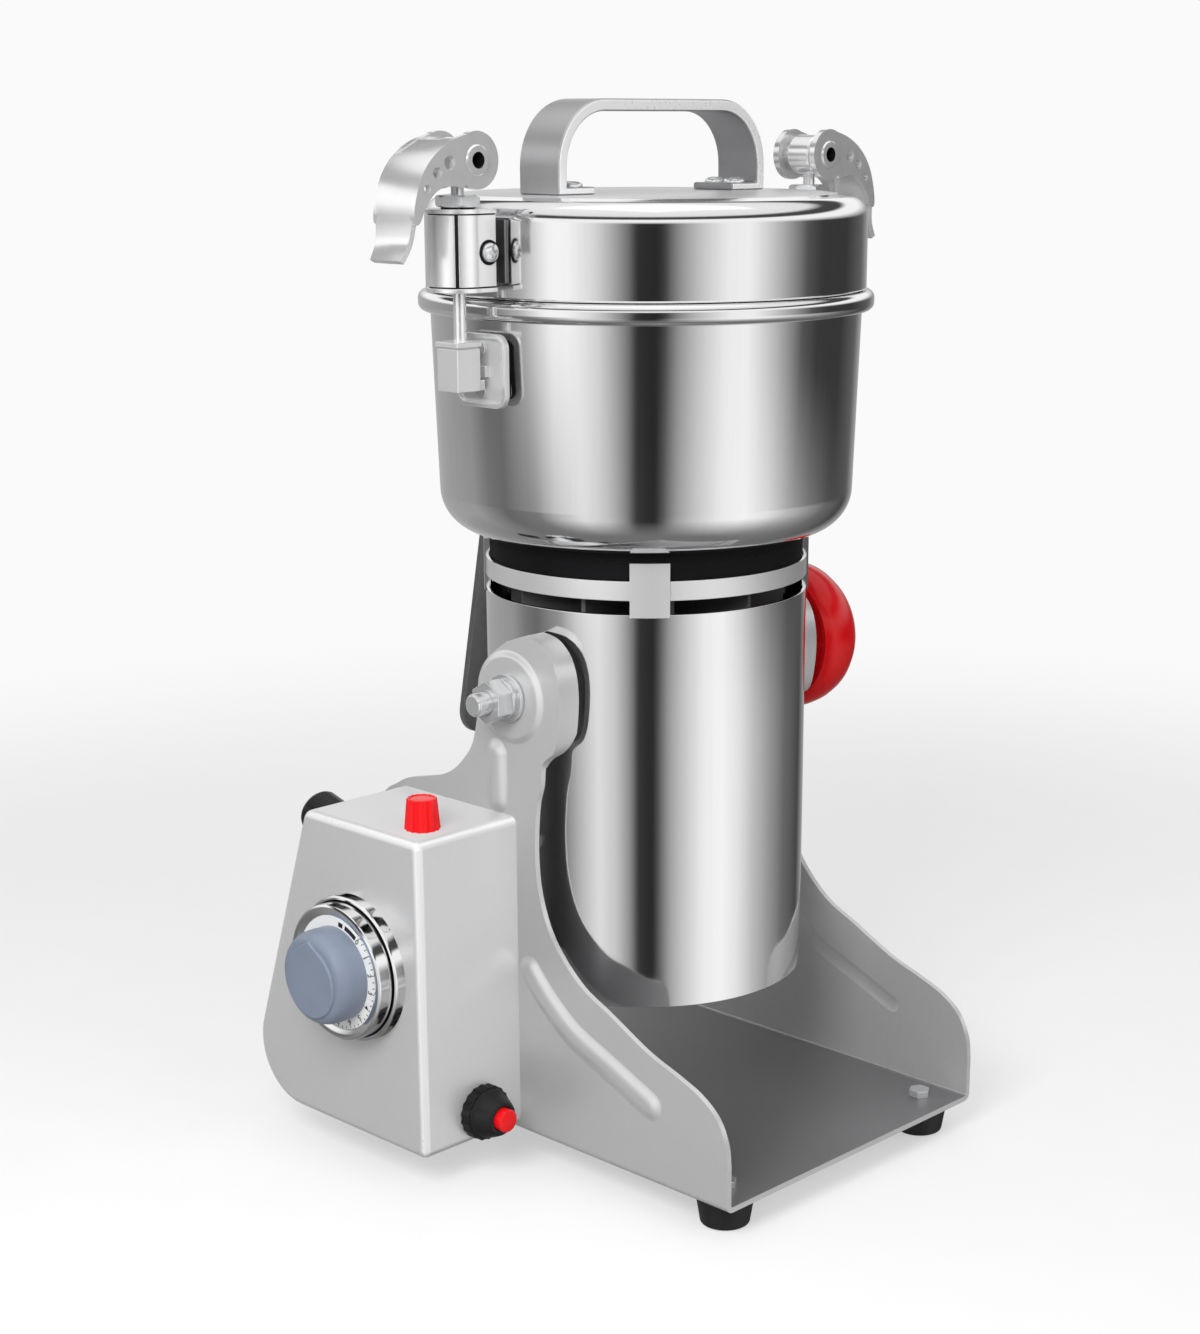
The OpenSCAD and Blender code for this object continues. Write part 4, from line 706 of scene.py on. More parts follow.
@dataclass
class Stand(SubAssembly):
    """Bent base sheet with its two cheeks, pressed beads and eared tops, on four rubber feet."""

    front: float = 102.0
    rear: float = 88.0
    width: float = 135.0
    sheet: float = 2.0
    foot: float = 11.0
    fold: float = 2.8
    spare: float = 8.0
    lip_depth: float = 9.3
    lip_bend: float = 4.4
    lip_low: float = 148.0
    lip_end: float = 178.0
    lip_run: float = 12.0
    ear_low: float = 153.0
    ear_flat: float = 17.0
    bush: float = 12.0
    ear_disc: float = 33.0
    bead_width: float = 11.0
    bead_steps: tuple[Point, ...] = (
        (0.8, 0.2), (0.9, 0.48), (0.9, 0.45), (0.9, 0.26), (0.8, 0.11), (0.6, 0.04))
    dent: float = 2.9
    disc_steps: tuple[Point, ...] = ((0.5, 0.14), (0.6, 0.36), (0.6, 0.38), (0.5, 0.2), (0.5, 0.09))
    front_shares: tuple[Point, ...] = (
        (1, 0.16), (0.99, 0.207), (0.95, 0.255), (0.873, 0.29), (0.768, 0.315), (0.635, 0.342),
        (0.458, 0.394), (0.319, 0.435), (0.192, 0.51), (0.129, 0.596), (0.111, 0.687), (0.121, 0.781),
        (0.143, 0.83), (0.155, 0.879), (0.21, 0.909), (0.233, 0.971), (0.233, 1.039), (0.205, 1.09),
        (0.145, 1.122), (0.07, 1.131))
    rear_shares: tuple[Point, ...] = (
        (0.02, 1.112), (0.115, 1.076), (0.166, 1.037), (0.188, 0.962), (0.223, 0.888), (0.274, 0.85),
        (0.345, 0.817), (0.428, 0.797), (0.534, 0.783), (0.633, 0.77), (0.701, 0.752), (0.77, 0.731),
        (0.864, 0.676), (0.932, 0.583), (0.977, 0.35), (1, 0.175))
    bead_shares: tuple[Point, ...] = (
        (0.08, 0.43), (0.16, 0.38), (0.29, 0.322), (0.458, 0.28), (0.65, 0.232))
    short_bead: tuple[Point, ...] = ((-7.55, 150.1), (-7.55, 134.0))

    def edge_lines(self) -> tuple[list[Point], list[Point]]:
        """Returns the cheek's front and rear edges in X and Z."""
        front = curve([(x * self.front, z * PIVOT) for x, z in self.front_shares], 4)
        rear = curve([(-x * self.rear, z * PIVOT) for x, z in self.rear_shares], 4)
        return [(min(x, self.front), z) for x, z in front], [(max(x, -self.rear), z) for x, z in rear]

    def folded(self) -> Piece:
        """Bends a long U of sheet and cuts both cheeks to their outline at once."""
        half, t, r, tall = self.width / 2, self.sheet, self.fold, 200.0
        left = arc((r - half, self.foot + r), r, 180, 270, 5)
        inner = arc((r - half, self.foot + r), r - t, 270, 180, 5)
        u = [
            (-half, tall), *left, *[(-y, z) for y, z in reversed(left)], (half, tall), (half - t, tall),
            *[(-y, z) for y, z in reversed(inner)], *inner, (t - half, tall)]
        long = self.front + self.rear + 2 * self.spare
        body = plate([at(-self.rear - self.spare, y, z) for y, z in u], AHEAD * long * MM)
        front, rear = self.edge_lines()
        shape = [(self.front, 0.0), *front, *rear, (-self.rear, 0.0)]
        low = -half - self.spare / 2
        cutter = plate([at(x, low, z) for x, z in shape], side_way(self.width + self.spare))
        return combine(body, [cutter], "INTERSECT")

    def lip(self, side: int) -> Piece:
        """Makes the strip that turns the ear's edge in towards the motor, shallow at its lower end."""
        front, rear = self.edge_lines()
        line = [p for p in front if p[0] > 0 and p[1] > self.lip_low]
        line += [p for p in rear if p[1] > self.lip_end]
        inside = beside(line, -self.sheet)
        strip = plate([at(x, side * self.width / 2, z) for x, z in [*line, *reversed(inside)]],
                      side_way(-side * self.lip_depth))
        for corner in strip.data.vertices:
            x, y, z = (corner.co - AXIS) / MM
            if abs(y) < self.width / 2 - 1:
                grown = min(1.0, max(0.0, (z - self.lip_low) / self.lip_run)) if x > 0 else 1.0
                corner.co.y += side * (1 - grown) * (self.lip_depth - self.sheet) * MM
        return strip

    def bead(self, line: Sequence[Point], side: int) -> Piece:
        """Presses a soft bead along a line on a cheek's outer face."""
        half = self.bead_width / 2
        a = math.degrees(math.atan2(line[1][1] - line[0][1], line[1][0] - line[0][0]))
        b = math.degrees(math.atan2(line[-1][1] - line[-2][1], line[-1][0] - line[-2][0]))
        ring = [
            *arc(line[0], half, a + 270, a + 90, 10), *beside(line, -half)[1:-1],
            *arc(line[-1], half, b + 90, b - 90, 10), *reversed(beside(line, half)[1:-1])]
        return self.raised(ring, side, self.bead_steps)

    def raised(self, ring: Sequence[Point], side: int, steps: Sequence[Point]) -> Piece:
        """Raises a soft form with a given outline on a cheek's outer face."""
        y = side * (self.width / 2 - 0.5)
        form = plate([at(x, y, z) for x, z in ring], side_way(side * 0.52))
        return pressed(form, Vector((0, side, 0)), steps)

    def model(self) -> list[Piece]:
        """Models the base sheet."""
        body = self.folded()
        combine(body, [self.lip(side) for side in (-1, 1)], "UNION")
        with editing(body):
            bpy.ops.mesh.dissolve_limited(angle_limit=math.radians(0.3))

        def on_ear(edge: bmesh.types.BMEdge) -> bool:
            """Tells whether an edge runs round the outer face of an ear."""
            ends = [(v.co - AXIS) / MM for v in edge.verts]
            return all(abs(abs(p.y) - self.width / 2) < 0.02
                       and math.hypot(p.x, p.z - PIVOT) > self.ear_flat
                       and p.z > (self.ear_low if p.x > 0 else self.lip_end + 1) for p in ends)

        bevel_edges(body, self.lip_bend, 6, on_ear)
        long_bead = curve([(x * self.front, z * PIVOT) for x, z in self.bead_shares], 3)
        disc = arc((0.0, PIVOT), self.ear_disc / 2, 0, 352.5, 47)
        forms, dents = [], []
        for side in (-1, 1):
            forms += [self.bead(long_bead, side), self.bead(self.short_bead, side),
                      self.raised(disc, side, self.disc_steps)]
            dent = self.bead(long_bead, side)
            dent.data.transform(Matrix.Translation((0, -side * self.dent * MM, 0)))
            dents.append(dent)
        hole = seat(prism(48, self.bush / 2, -80, 80), at(0, 0, PIVOT), OUT)
        combine(body, forms, "UNION")
        combine(body, [hole, *dents], "DIFFERENCE")
        finish(body, "base_sheet", "base_frame", soft=0.35, limit=50.0)
        inner_y = self.width / 2 - self.sheet

        def inner(p: Vector, normal: Vector) -> bool:
            """Tells whether a face lies on the floor of the U or on the left cheek's inner side, where
            shade is painted.
            """
            facing = normal.y > 0.9 or normal.z > 0.5 and p.z < 20.0
            return facing and p.z > self.foot + self.sheet - 0.05 and abs(p.y) < inner_y + 0.05

        def far(p: Vector, normal: Vector) -> bool:
            """Tells whether a face lies on the right cheek's inner side, below its ear, where shading is
            painted.
            """
            return inner_y - 0.1 < p.y < self.width / 2 - 0.4 and normal.y < -0.5 and p.z < 150.0

        # The U's floor and the near cheek's inner side get a darker satin copy as painted shade; the far
        # cheek's inner side gets its own tuned copy as painted shading.
        repaint(body, INNER_PAINTED_SHADE, inner)
        repaint(body, FAR_CHEEK_PAINTED_SHADING, far)
        return [body]


@dataclass
class ControlBox(SubAssembly):
    """Folded cover with the timer, the lamp, the circuit breaker and the cord gland."""

    front: float = 2.0
    top: float = 129.0
    bottom: float = 13.8
    top_rear: float = -59.0
    corner: Point = (-68.0, 35.8)
    corner_r: float = 22.0
    slope: float = 19.1
    inner_y: float = -67.5
    outer_y: float = -113.2
    fold: float = 3.0
    # How far the painted fold highlight reaches, as shares of the fold, for upright and for level folds.
    rubbed: Point = (0.58, 0.42)
    sheet: float = 1.2
    timer: Point = (-32.0, 77.5)
    dial_h: float = 8.8
    knob_y: float = -120.9
    lamp: Point = (-11.0, -99.2)
    breaker: Point = (-86.5, 24.8)
    number_r: float = 18.0
    number_size: float = 2.9
    ink: float = 0.06
    numbers: int = 14
    first_mark: float = 40.0
    number_step: float = 20.0
    blocks: tuple[tuple[float, float, float, float], ...] = ((17.3, 19.0, 6, 13), (17.4, 19.1, 17, 36))
    bezel_profile: tuple[Point, ...] = (
        (20.5, 0), (26.2, 0), (26.2, 3.2), (26.0, 3.8), (25.4, 4.1), (24.8, 4.0), (24.4, 3.4),
        (23.4, 3.5), (23.4, 4.3), (24.3, 4.5), (24.3, 8.9), (24.1, 9.5), (23.5, 9.9), (22.8, 9.9),
        (22.0, 9.6), (21.2, 9.2), (20.5, 8.9))
    groove: tuple[float, float, float] = (24.2, 3.3, 4.6)
    knob_profile: tuple[Point, ...] = (
        (0, 0), (16.2, 0), (16.7, 0.6), (16.8, 6.4), (16.6, 8.8), (16.0, 10.7), (15.0, 12.0),
        (13.6, 12.6), (10.0, 12.7), (0, 12.7))
    grip_low: float = 11.0
    grip_high: float = 13.6
    grip: Place = (15.4, 12.9, 0.7)
    cone_profile: tuple[Point, ...] = (
        (0, 0), (9.3, 0), (9.3, 4.3), (9.1, 5.0), (8.5, 5.3), (8.4, 5.8), (8.0, 7.0), (7.2, 8.9),
        (6.5, 10.4), (6.0, 11.2), (5.3, 11.5), (4.4, 11.2), (4.3, 9.0), (0, 9.0))
    button_profile: tuple[Point, ...] = (
        (0, -0.7), (4.15, -0.7), (4.15, 13.5), (3.95, 14.1), (3.3, 14.45), (0, 14.5))

    def shell(self) -> Piece:
        """Extrudes the cover's outline, rounds its folds, opens its back and gives it a wall."""
        ring = [
            (self.front, self.bottom), (self.front, self.top), (self.top_rear, self.top),
            *arc(self.corner, self.corner_r, 180 - self.slope, 270, 20)]
        body = plate([at(x, self.inner_y, z) for x, z in ring], side_way(self.outer_y - self.inner_y))
        back = at(0, self.inner_y, 0).y
        bevel_edges(body, self.fold, 6, lambda e: e.calc_face_angle(0.0) > 0.3
                    and not all(abs(v.co.y - back) < 1e-6 for v in e.verts))
        with editing(body, "FACE"):
            bpy.ops.mesh.select_all(action="DESELECT")
            shape = bmesh.from_edit_mesh(body.data)
            for face in shape.faces:
                face.select_set(all(abs(v.co.y - back) < 1e-6 for v in face.verts))
            bmesh.update_edit_mesh(body.data)
            bpy.ops.mesh.delete(type="FACE")
        apply_modifier(body, "SOLIDIFY", thickness=self.sheet * MM, offset=-1.0)
        combine(body, [seat(prism(48, 6.6, -6, 3), at(self.front, *self.breaker), AHEAD)], "DIFFERENCE")
        finish(body, "control_box_cover", "control_box_shell")
        corner = Vector((self.front, self.outer_y, self.top))

        def on_fold(p: Vector, normal: Vector) -> bool:
            """Tells whether a face lies on the painted highlight along the middle of a fold at the near
            corner.
            """
            x, y, z = (abs(d) / self.fold for d in p - corner)
            upright = x < self.rubbed[0] and y < self.rubbed[0]
            level = z < self.rubbed[1] and min(x, y) < self.rubbed[1]
            return (upright or level) and max(abs(c) for c in normal) < 0.94

        repaint(body, COVER)
        # The cover's folds at the near corner get a painted highlight.
        repaint(body, PAINTED_HIGHLIGHT, on_fold)
        body.visible_glossy = False
        return body

    def on_dial(self, radius: float, clock: float, height: float) -> Vector:
        """Returns the place on the timer at a radius, a clockwise angle from the top and a height."""
        turn = math.radians(clock)
        across, up = radius * math.sin(turn), radius * math.cos(turn)
        return at(self.timer[0] + across, self.outer_y - height, self.timer[1] + up)

    def bar(self, low: float, high: float, start: float, end: float) -> Piece:
        """Makes a thin printed mark on the dial between two radii and two clockwise angles."""
        steps = max(1, round(abs(end - start) / 3))
        angles = [start + (end - start) * i / steps for i in range(steps + 1)]
        ring = [self.on_dial(high, a, self.dial_h) for a in angles]
        ring += [self.on_dial(low, a, self.dial_h) for a in reversed(angles)]
        return plate(ring, OUT * self.ink * MM)

    def number(self, value: int, clock: float) -> Piece:
        """Writes a plain number on the dial, with its foot towards the knob."""
        text = added(bpy.ops.object.text_add)
        text.data.body, text.data.size = str(value), self.number_size * MM
        text.data.align_x = text.data.align_y = "CENTER"
        text.data.extrude, text.data.offset = self.ink / 2 * MM, 0.04 * MM
        bpy.ops.object.convert(target="MESH")
        turn = Matrix.Rotation(math.radians(90), 4, "X") @ Matrix.Rotation(-math.radians(clock), 4, "Z")
        place = Matrix.Translation(self.on_dial(self.number_r, clock, self.dial_h + self.ink / 2))
        text.data.transform(turn)
        text.data.transform(place)
        return text

    def timer_pieces(self) -> list[Piece]:
        """Models the stepped bezel, the dial with its ticks and numbers, and the knob."""
        centre = at(self.timer[0], self.outer_y, self.timer[1])
        bezel = seat(lathe(self.bezel_profile, 128), centre, OUT)
        finish(bezel, "timer_bezel_ring", "timer_bezel", slot=Slot.POLISHED, angle=28.0)
        reach, low, high = self.groove

        def in_groove(p: Vector, normal: Vector) -> bool:
            """Tells whether a face lies in the groove between the bezel's two steps."""
            away = math.hypot(p.x - self.timer[0], p.z - self.timer[1])
            return 22.0 < away < reach and low < self.outer_y - p.y < high

        # The groove between the bezel's steps is painted black as shade.
        repaint(bezel, BLACK_PAINTED_SHADE, in_groove)
        h = self.dial_h
        dial = seat(lathe([(4, h - 1.2), (20.45, h - 1.2), (20.45, h - 0.1), (20.3, h), (4, h)]),
                    centre, OUT)
        finish(dial, "timer_dial_face", "timer_dial")
        ticks = [self.first_mark + i * self.number_step / 3 for i in range(3 * self.numbers - 2)]
        marks = [self.bar(19.4, 20.1, a - 0.5, a + 0.5) for a in ticks]
        marks += [self.number(i, self.first_mark + i * self.number_step) for i in range(self.numbers)]
        marks += [self.bar(*sizes) for sizes in self.blocks]
        printed = finish(join(marks), "timer_dial_marks", slot=Slot.BLACK, body="stand")
        knob = seat(lathe(self.knob_profile, 96), at(self.timer[0], self.knob_y, self.timer[1]), OUT)
        reach, round_r, sunk = self.grip
        half = math.degrees(math.acos(round_r / reach))
        tip = curve([(-1.6, reach - 1.2), (0.0, reach - 0.3), (1.6, reach - 1.2)], 3)
        drop = [*arc((0.0, 0.0), round_r, 90 - half, -270 + half, 40), *tip]
        u0, v0 = self.timer[0], self.timer[1] - sunk
        grip = plate([at(u0 + u, self.knob_y - self.grip_low, v0 + v) for u, v in drop],
                     OUT * (self.grip_high - self.grip_low) * MM)
        face = at(0, self.knob_y - self.grip_high, 0).y
        bevel_edges(grip, 0.8, 4, lambda e: all(abs(v.co.y - face) < 1e-6 for v in e.verts))
        knob = finish(join([knob, grip]), "timer_knob_body", "timer_knob", angle=40.0)
        return [bezel, dial, printed, knob]

    def lamp_piece(self) -> Piece:
        """Models the fluted lens of the indicator lamp."""
        lens = prism(28, 6.3, 0, 11, 5.3, flute=0.9)
        pressed(lens, UP, ((0.5, 0.0), (0.4, -0.5), (1.2, 0.25)))
        lens = finish(seat(lens, at(*self.lamp, self.top)), "lamp_cap", "lamp_lens", soft=0.22)
        lens.visible_glossy = False
        return lens

    def breaker_pieces(self) -> list[Piece]:
        """Models the ribbed collar, the rounded cone and the reset button of the circuit breaker."""
        place = at(self.front, *self.breaker)
        collar = seat(prism(36, 10.0, 0, 4, flute=0.95), place, AHEAD)
        stem = seat(prism(32, 6.5, -20, 0.6), place, AHEAD)
        cone = seat(lathe(self.cone_profile, 64), place, AHEAD)
        body = finish(join([collar, stem, cone]), "breaker_boot", "breaker_body", soft=0.25)
        button = finish(seat(lathe(self.button_profile, 48), place, AHEAD), "breaker_cap", "breaker_button")
        button.visible_glossy = False
        return [body, button]

    def model(self) -> list[Piece]:
        """Models the cover and what looks out of it."""
        return [self.shell(), *self.timer_pieces(), self.lamp_piece(), *self.breaker_pieces()]


@dataclass
class MotorUnit(SubAssembly):
    """Polished motor tube with its trunnion bosses, ventilation band and tabs."""

    radius: float = 57.5
    wall: float = 1.5
    low: float = 61.0
    slot_low: float = 202.0
    band_low: float = 206.6
    band_high: float = 213.5
    tab_top: float = 219.6
    tab_half: float = 6.75
    boss_r: float = 11.0
    seat_r: float = 25.0
    baffle: tuple[float, float, float, float] = (54.9, 55.8, 208.2, 222.9)

    def ring(self, low: float, high: float) -> Piece:
        """Makes one length of the tube with rounded edges."""
        r, t, e = self.radius, self.wall, 0.4
        half = [(r - t, e), (r - t + e, 0.0), (r - e, 0.0), (r - 0.1, 0.15), (r, e)]
        profile = [(a, low + h) for a, h in half] + [(a, high - h) for a, h in reversed(half)]
        return seat(lathe(profile, 192), at(0, 0, 0))

    def tab(self, turn: float) -> Piece:
        """Makes one tab that carries the band, bent to the tube's round."""
        half = math.degrees(self.tab_half / self.radius)
        ring = [
            *arc((0, 0), self.radius + 0.6, turn - half, turn + half, 6),
            *arc((0, 0), self.radius - self.wall, turn + half, turn - half, 6)]
        low = self.slot_low - 1
        return plate([at(x, y, low) for x, y in ring], UP * (self.tab_top - low) * MM)

    def model(self) -> list[Piece]:
        """Models the motor tube."""
        boss = [
            (0.0, 51.0), (self.boss_r, 51.0), (self.boss_r, 64.6), (self.boss_r - 0.6, 65.2),
            (0.0, 65.2)]
        parts = [self.ring(self.low, self.slot_low), self.ring(self.band_low, self.band_high)]
        parts += [self.tab(45.0 + 90 * i) for i in range(4)]
        for side in (-1, 1):
            trunnion = seat(lathe(boss, 64), at(0, 0, PIVOT), OUT * -side)
            core = seat(prism(96, self.radius - self.wall / 2, self.low, self.slot_low), at(0, 0, 0))
            parts.append(combine(trunnion, [core], "DIFFERENCE"))
        tube = finish(join(parts), "motor_tube", "motor_housing")
        # A near-black ring stands in the vent gap under the bowl; its black is painted shade.
        near, far, low, high = self.baffle
        baffle = seat(lathe([(near, low), (far, low), (far, high), (near, high)], 96), at(0, 0, 0))
        finish(baffle, "vent_gap_ring", slot=Slot.RUBBER, body="motor_unit")
        repaint(baffle, BLACK_PAINTED_SHADE)
        flange = rounded("bowl_seat", 0.3)
        # The bowl seat outside its seat radius is painted black as shade.
        repaint(flange, BLACK_PAINTED_SHADE, lambda p, normal: math.hypot(p.x, p.y) > self.seat_r)
        repaint(tube, MATERIALS[Slot.SATIN], self.on_tab)
        return [tube, baffle, flange]

    def on_tab(self, p: Vector, normal: Vector) -> bool:
        """Tells whether a face lies on the outer side of the band or of a tab."""
        turn = math.degrees(math.atan2(p.y, p.x)) % 90 - 45
        away = math.hypot(p.x, p.y) - self.radius
        band = away > -0.2 and self.band_low < p.z < self.band_high
        return band or away > 0.2 and abs(turn) < 8 and p.z > self.slot_low - 1.5


@dataclass
class Bowl(SubAssembly):
    """Grinding bowl with its rolled rim, and the catch plates riveted to it."""

    radius: float = 75.0
    foot_r: float = 73.0
    low: float = 223.0
    corner: float = 15.0
    wall: float = 1.2
    rim_low: float = 299.4
    rim_high: float = 306.2
    rim_r: float = 79.2
    curl: float = 2.6
    hole_r: float = 6.0
    catch: float = 24.0
    catch_r: float = 4.5
    catch_z: float = 283.5
    catch_foot: Place = (19.0, 2.5, 73.65)
    catch_back: float = 76.6
    catch_rim: float = 78.8
    catch_steps: tuple[Point, ...] = ((1.5, 0.0), (0.3, -0.5), (0.5, -0.5))
    nose: tuple[float, float, float] = (3.5, 281.5, 285.1)
    nose_y: float = 79.5

    def square(self, side: float, corner: float, low: float, high: float, way: int) -> Piece:
        """Makes a plate with round corners that faces outwards on one side of the bowl.

        Args:
            side: Its width and height.
            corner: Radius of its corners.
            low: Its near face's distance from the motor axis.
            high: Its far face's distance.
            way: The side of the bowl, -1 for the left.

        Returns:
            The plate.
        """
        half, ring = side / 2 - corner, []
        for i, (sx, sz) in enumerate(((1, 1), (-1, 1), (-1, -1), (1, -1))):
            ring += arc((sx * half, self.catch_z + sz * half), corner, 90 * i, 90 * i + 90, 6)
        return plate([at(x, way * low, z) for x, z in ring], side_way(way * (high - low)))

    def catches(self) -> Piece:
        """Makes the two cupped catch plates, each with its foot on the wall and its nose for the claw."""
        parts = []
        for way in (-1, 1):
            cup = self.square(self.catch, self.catch_r, self.catch_back, self.catch_rim, way)
            parts.append(pressed(cup, Vector((0, way, 0)), self.catch_steps))
            parts.append(self.square(*self.catch_foot, self.catch_back + 0.4, way))
            near, far = sorted((way * (self.catch_rim - 1.2), way * self.nose_y))
            parts.append(block((-self.nose[0], near, self.nose[1]), (self.nose[0], far, self.nose[2])))
        plates = finish(join(parts), "latch_catches.cupped", "latch_catches", slot=Slot.SATIN, soft=0.2)
        # The outer rim of each catch gets the brighter plate finish as a painted highlight.
        repaint(plates, MATERIALS[Slot.BRIGHT], lambda p, normal: abs(p.y) > self.catch_rim - 0.15)
        # The catch's sides near the bowl are painted black as shade.
        repaint(plates, BLACK_PAINTED_SHADE, lambda p, normal: abs(normal.y) < 0.5 and abs(p.y) < self.catch_rim - 1.3)
        return plates

    def model(self) -> list[Piece]:
        """Models the bowl."""
        r, c, t, curl = self.radius, self.corner, self.wall, self.curl
        low, high = self.rim_low, self.rim_high
        foot = (self.foot_r - c, self.low + c)
        profile = [
            (self.hole_r, self.low), *arc(foot, c, -90, 0, 14), (r, low - 0.2), (r + 0.2, low),
            *arc((self.rim_r - curl, low + curl), curl, -90, 0, 6),
            *arc((self.rim_r - curl, high - curl), curl, 0, 90, 6), (r - t + 0.3, high),
            (r - t, high - 0.3), *arc(foot, c - t, 0, -90, 14), (self.hole_r, self.low + t)]
        return [finish(seat(lathe(profile, 224), at(0, 0, 0)), "bowl_shell", "bowl"), self.catches()]


@dataclass
class ClampKnob(SubAssembly):
    """Red hand knob that clamps the motor unit at its tilt."""

    inner_y: float = 70.9
    ribs: int = 8
    rib: tuple[Point, ...] = ((11.0, -0.8), (24.0, -0.8), (24.0, 0.8), (11.0, 0.8))
    profile: tuple[Point, ...] = (
        (4.5, 0.0), (10.5, 0.0), (11.5, 0.5), (12.2, 2.2), (22.0, 2.2), (23.2, 1.2), (25.0, 1.0),
        (26.8, 2.2), (28.0, 4.6), (28.4, 8.0), (28.0, 12.0), (26.8, 16.0), (24.6, 19.4), (21.0, 21.4),
        (15.0, 22.4), (0.0, 22.6), (0.0, 18.0), (4.5, 18.0))

    def model(self) -> list[Piece]:
        """Models the knob with its thick rim and the ribs of its inner side."""
        parts = [lathe(self.profile, 96)]
        for i in range(self.ribs):
            rib = plate([Vector((x, y, 1.1)) * MM for x, y in self.rib], UP * 2.4 * MM)
            rib.data.transform(Matrix.Rotation(math.tau * i / self.ribs, 4, "Z"))
            parts.append(rib)
        knob = seat(join(parts), at(0, self.inner_y, PIVOT), -OUT)
        return [finish(knob, "hand_knob", "lock_knob")]


@dataclass
class Lid(SubAssembly):
    """Drawn lid with its carrying strap."""

    radius: float = 76.4
    low: float = 306.5
    high: float = 338.7
    corner: float = 7.0
    dome: float = 1.0
    wall: float = 1.2
    span: float = 102.0
    rise: float = 30.7
    strap_w: float = 19.0
    strap_t: float = 4.0
    strap_r: float = 22.0
    foot_len: float = 13.0
    foot_t: float = 2.5
    screw: Point = (4.5, 40.5)
    screw_head: Point = (7.5, 1.8)

    def cover(self) -> Piece:
        """Spins the lid's shell."""
        r, c, t, z = self.radius, self.corner, self.wall, self.high - self.dome
        profile = [
            (r - t, self.low), (r - 0.5, self.low), (r, self.low + 0.6),
            *arc((r - c, z - c), c, 0, 90, 12), (r - 1.5 * c, self.high - 0.35), (r - 2 * c, self.high),
            (0, self.high), (0, self.high - t), (r - 2 * c, self.high - t),
            *arc((r - c, z - c), c - t, 90, 0, 12)]
        cover = finish(seat(lathe(profile, 224), at(0, 0, 0)), "lid_cover", "lid_shell")
        repaint(cover, MATERIALS[Slot.SATIN], lambda p, normal: normal.z > 0.99 and p.z > self.high - 0.5)
        return cover

    def strap(self) -> Piece:
        """Bends the carrying strap and rounds its edges."""
        y, t, r, h = self.span / 2, self.strap_t, self.strap_r, self.rise
        f = y - t - self.foot_len
        ring = [
            (-y, 0), *arc((r - y, h - r), r, 180, 90, 14), *arc((y - r, h - r), r, 90, 0, 14), (y, 0),
            (f, 0), (f, self.foot_t), (y - t, self.foot_t), *arc((y - r, h - r), r - t, 0, 90, 14),
            *arc((r - y, h - r), r - t, 90, 180, 14), (t - y, self.foot_t), (-f, self.foot_t), (-f, 0)]
        body = plate([at(-self.strap_w / 2, a, self.high + b) for a, b in ring], AHEAD * self.strap_w * MM)
        finish(body, "lid_strap", "lid_handle", soft=0.8)
        # Painted light on the strap: a darker satin copy all over as painted shade, a darker one still on
        # its underside and inner faces as painted shade, and a pale one on its cut sides as painted
        # highlight.
        repaint(body, SHADED)
        repaint(body, INNER_PAINTED_SHADE, lambda p, normal: normal.z < -0.5 or normal.y * p.y < -0.7 * abs(p.y))
        repaint(body, PAINTED_HIGHLIGHT, lambda p, normal: abs(normal.x) > 0.9)
        return body

    def screws(self) -> Piece:
        """Makes the four cross screws of the strap, with their nuts under the lid."""
        parts = []
        for sx in (-1, 1):
            for sy in (-1, 1):
                x, y = sx * self.screw[0], sy * self.screw[1]
                parts.append(cross_screw(at(x, y, self.high + self.foot_t), UP, *self.screw_head))
                parts.append(seat(prism(24, 2.0, -1.9, 2.6), at(x, y, self.high)))
                parts.append(seat(prism(6, 3.7, -3.0, -1.25), at(x, y, self.high)))
        return finish(join(parts), "strap_screws", "lid_handle_screws")

    def model(self) -> list[Piece]:
        """Models the lid."""
        return [self.cover(), self.strap(), self.screws()]


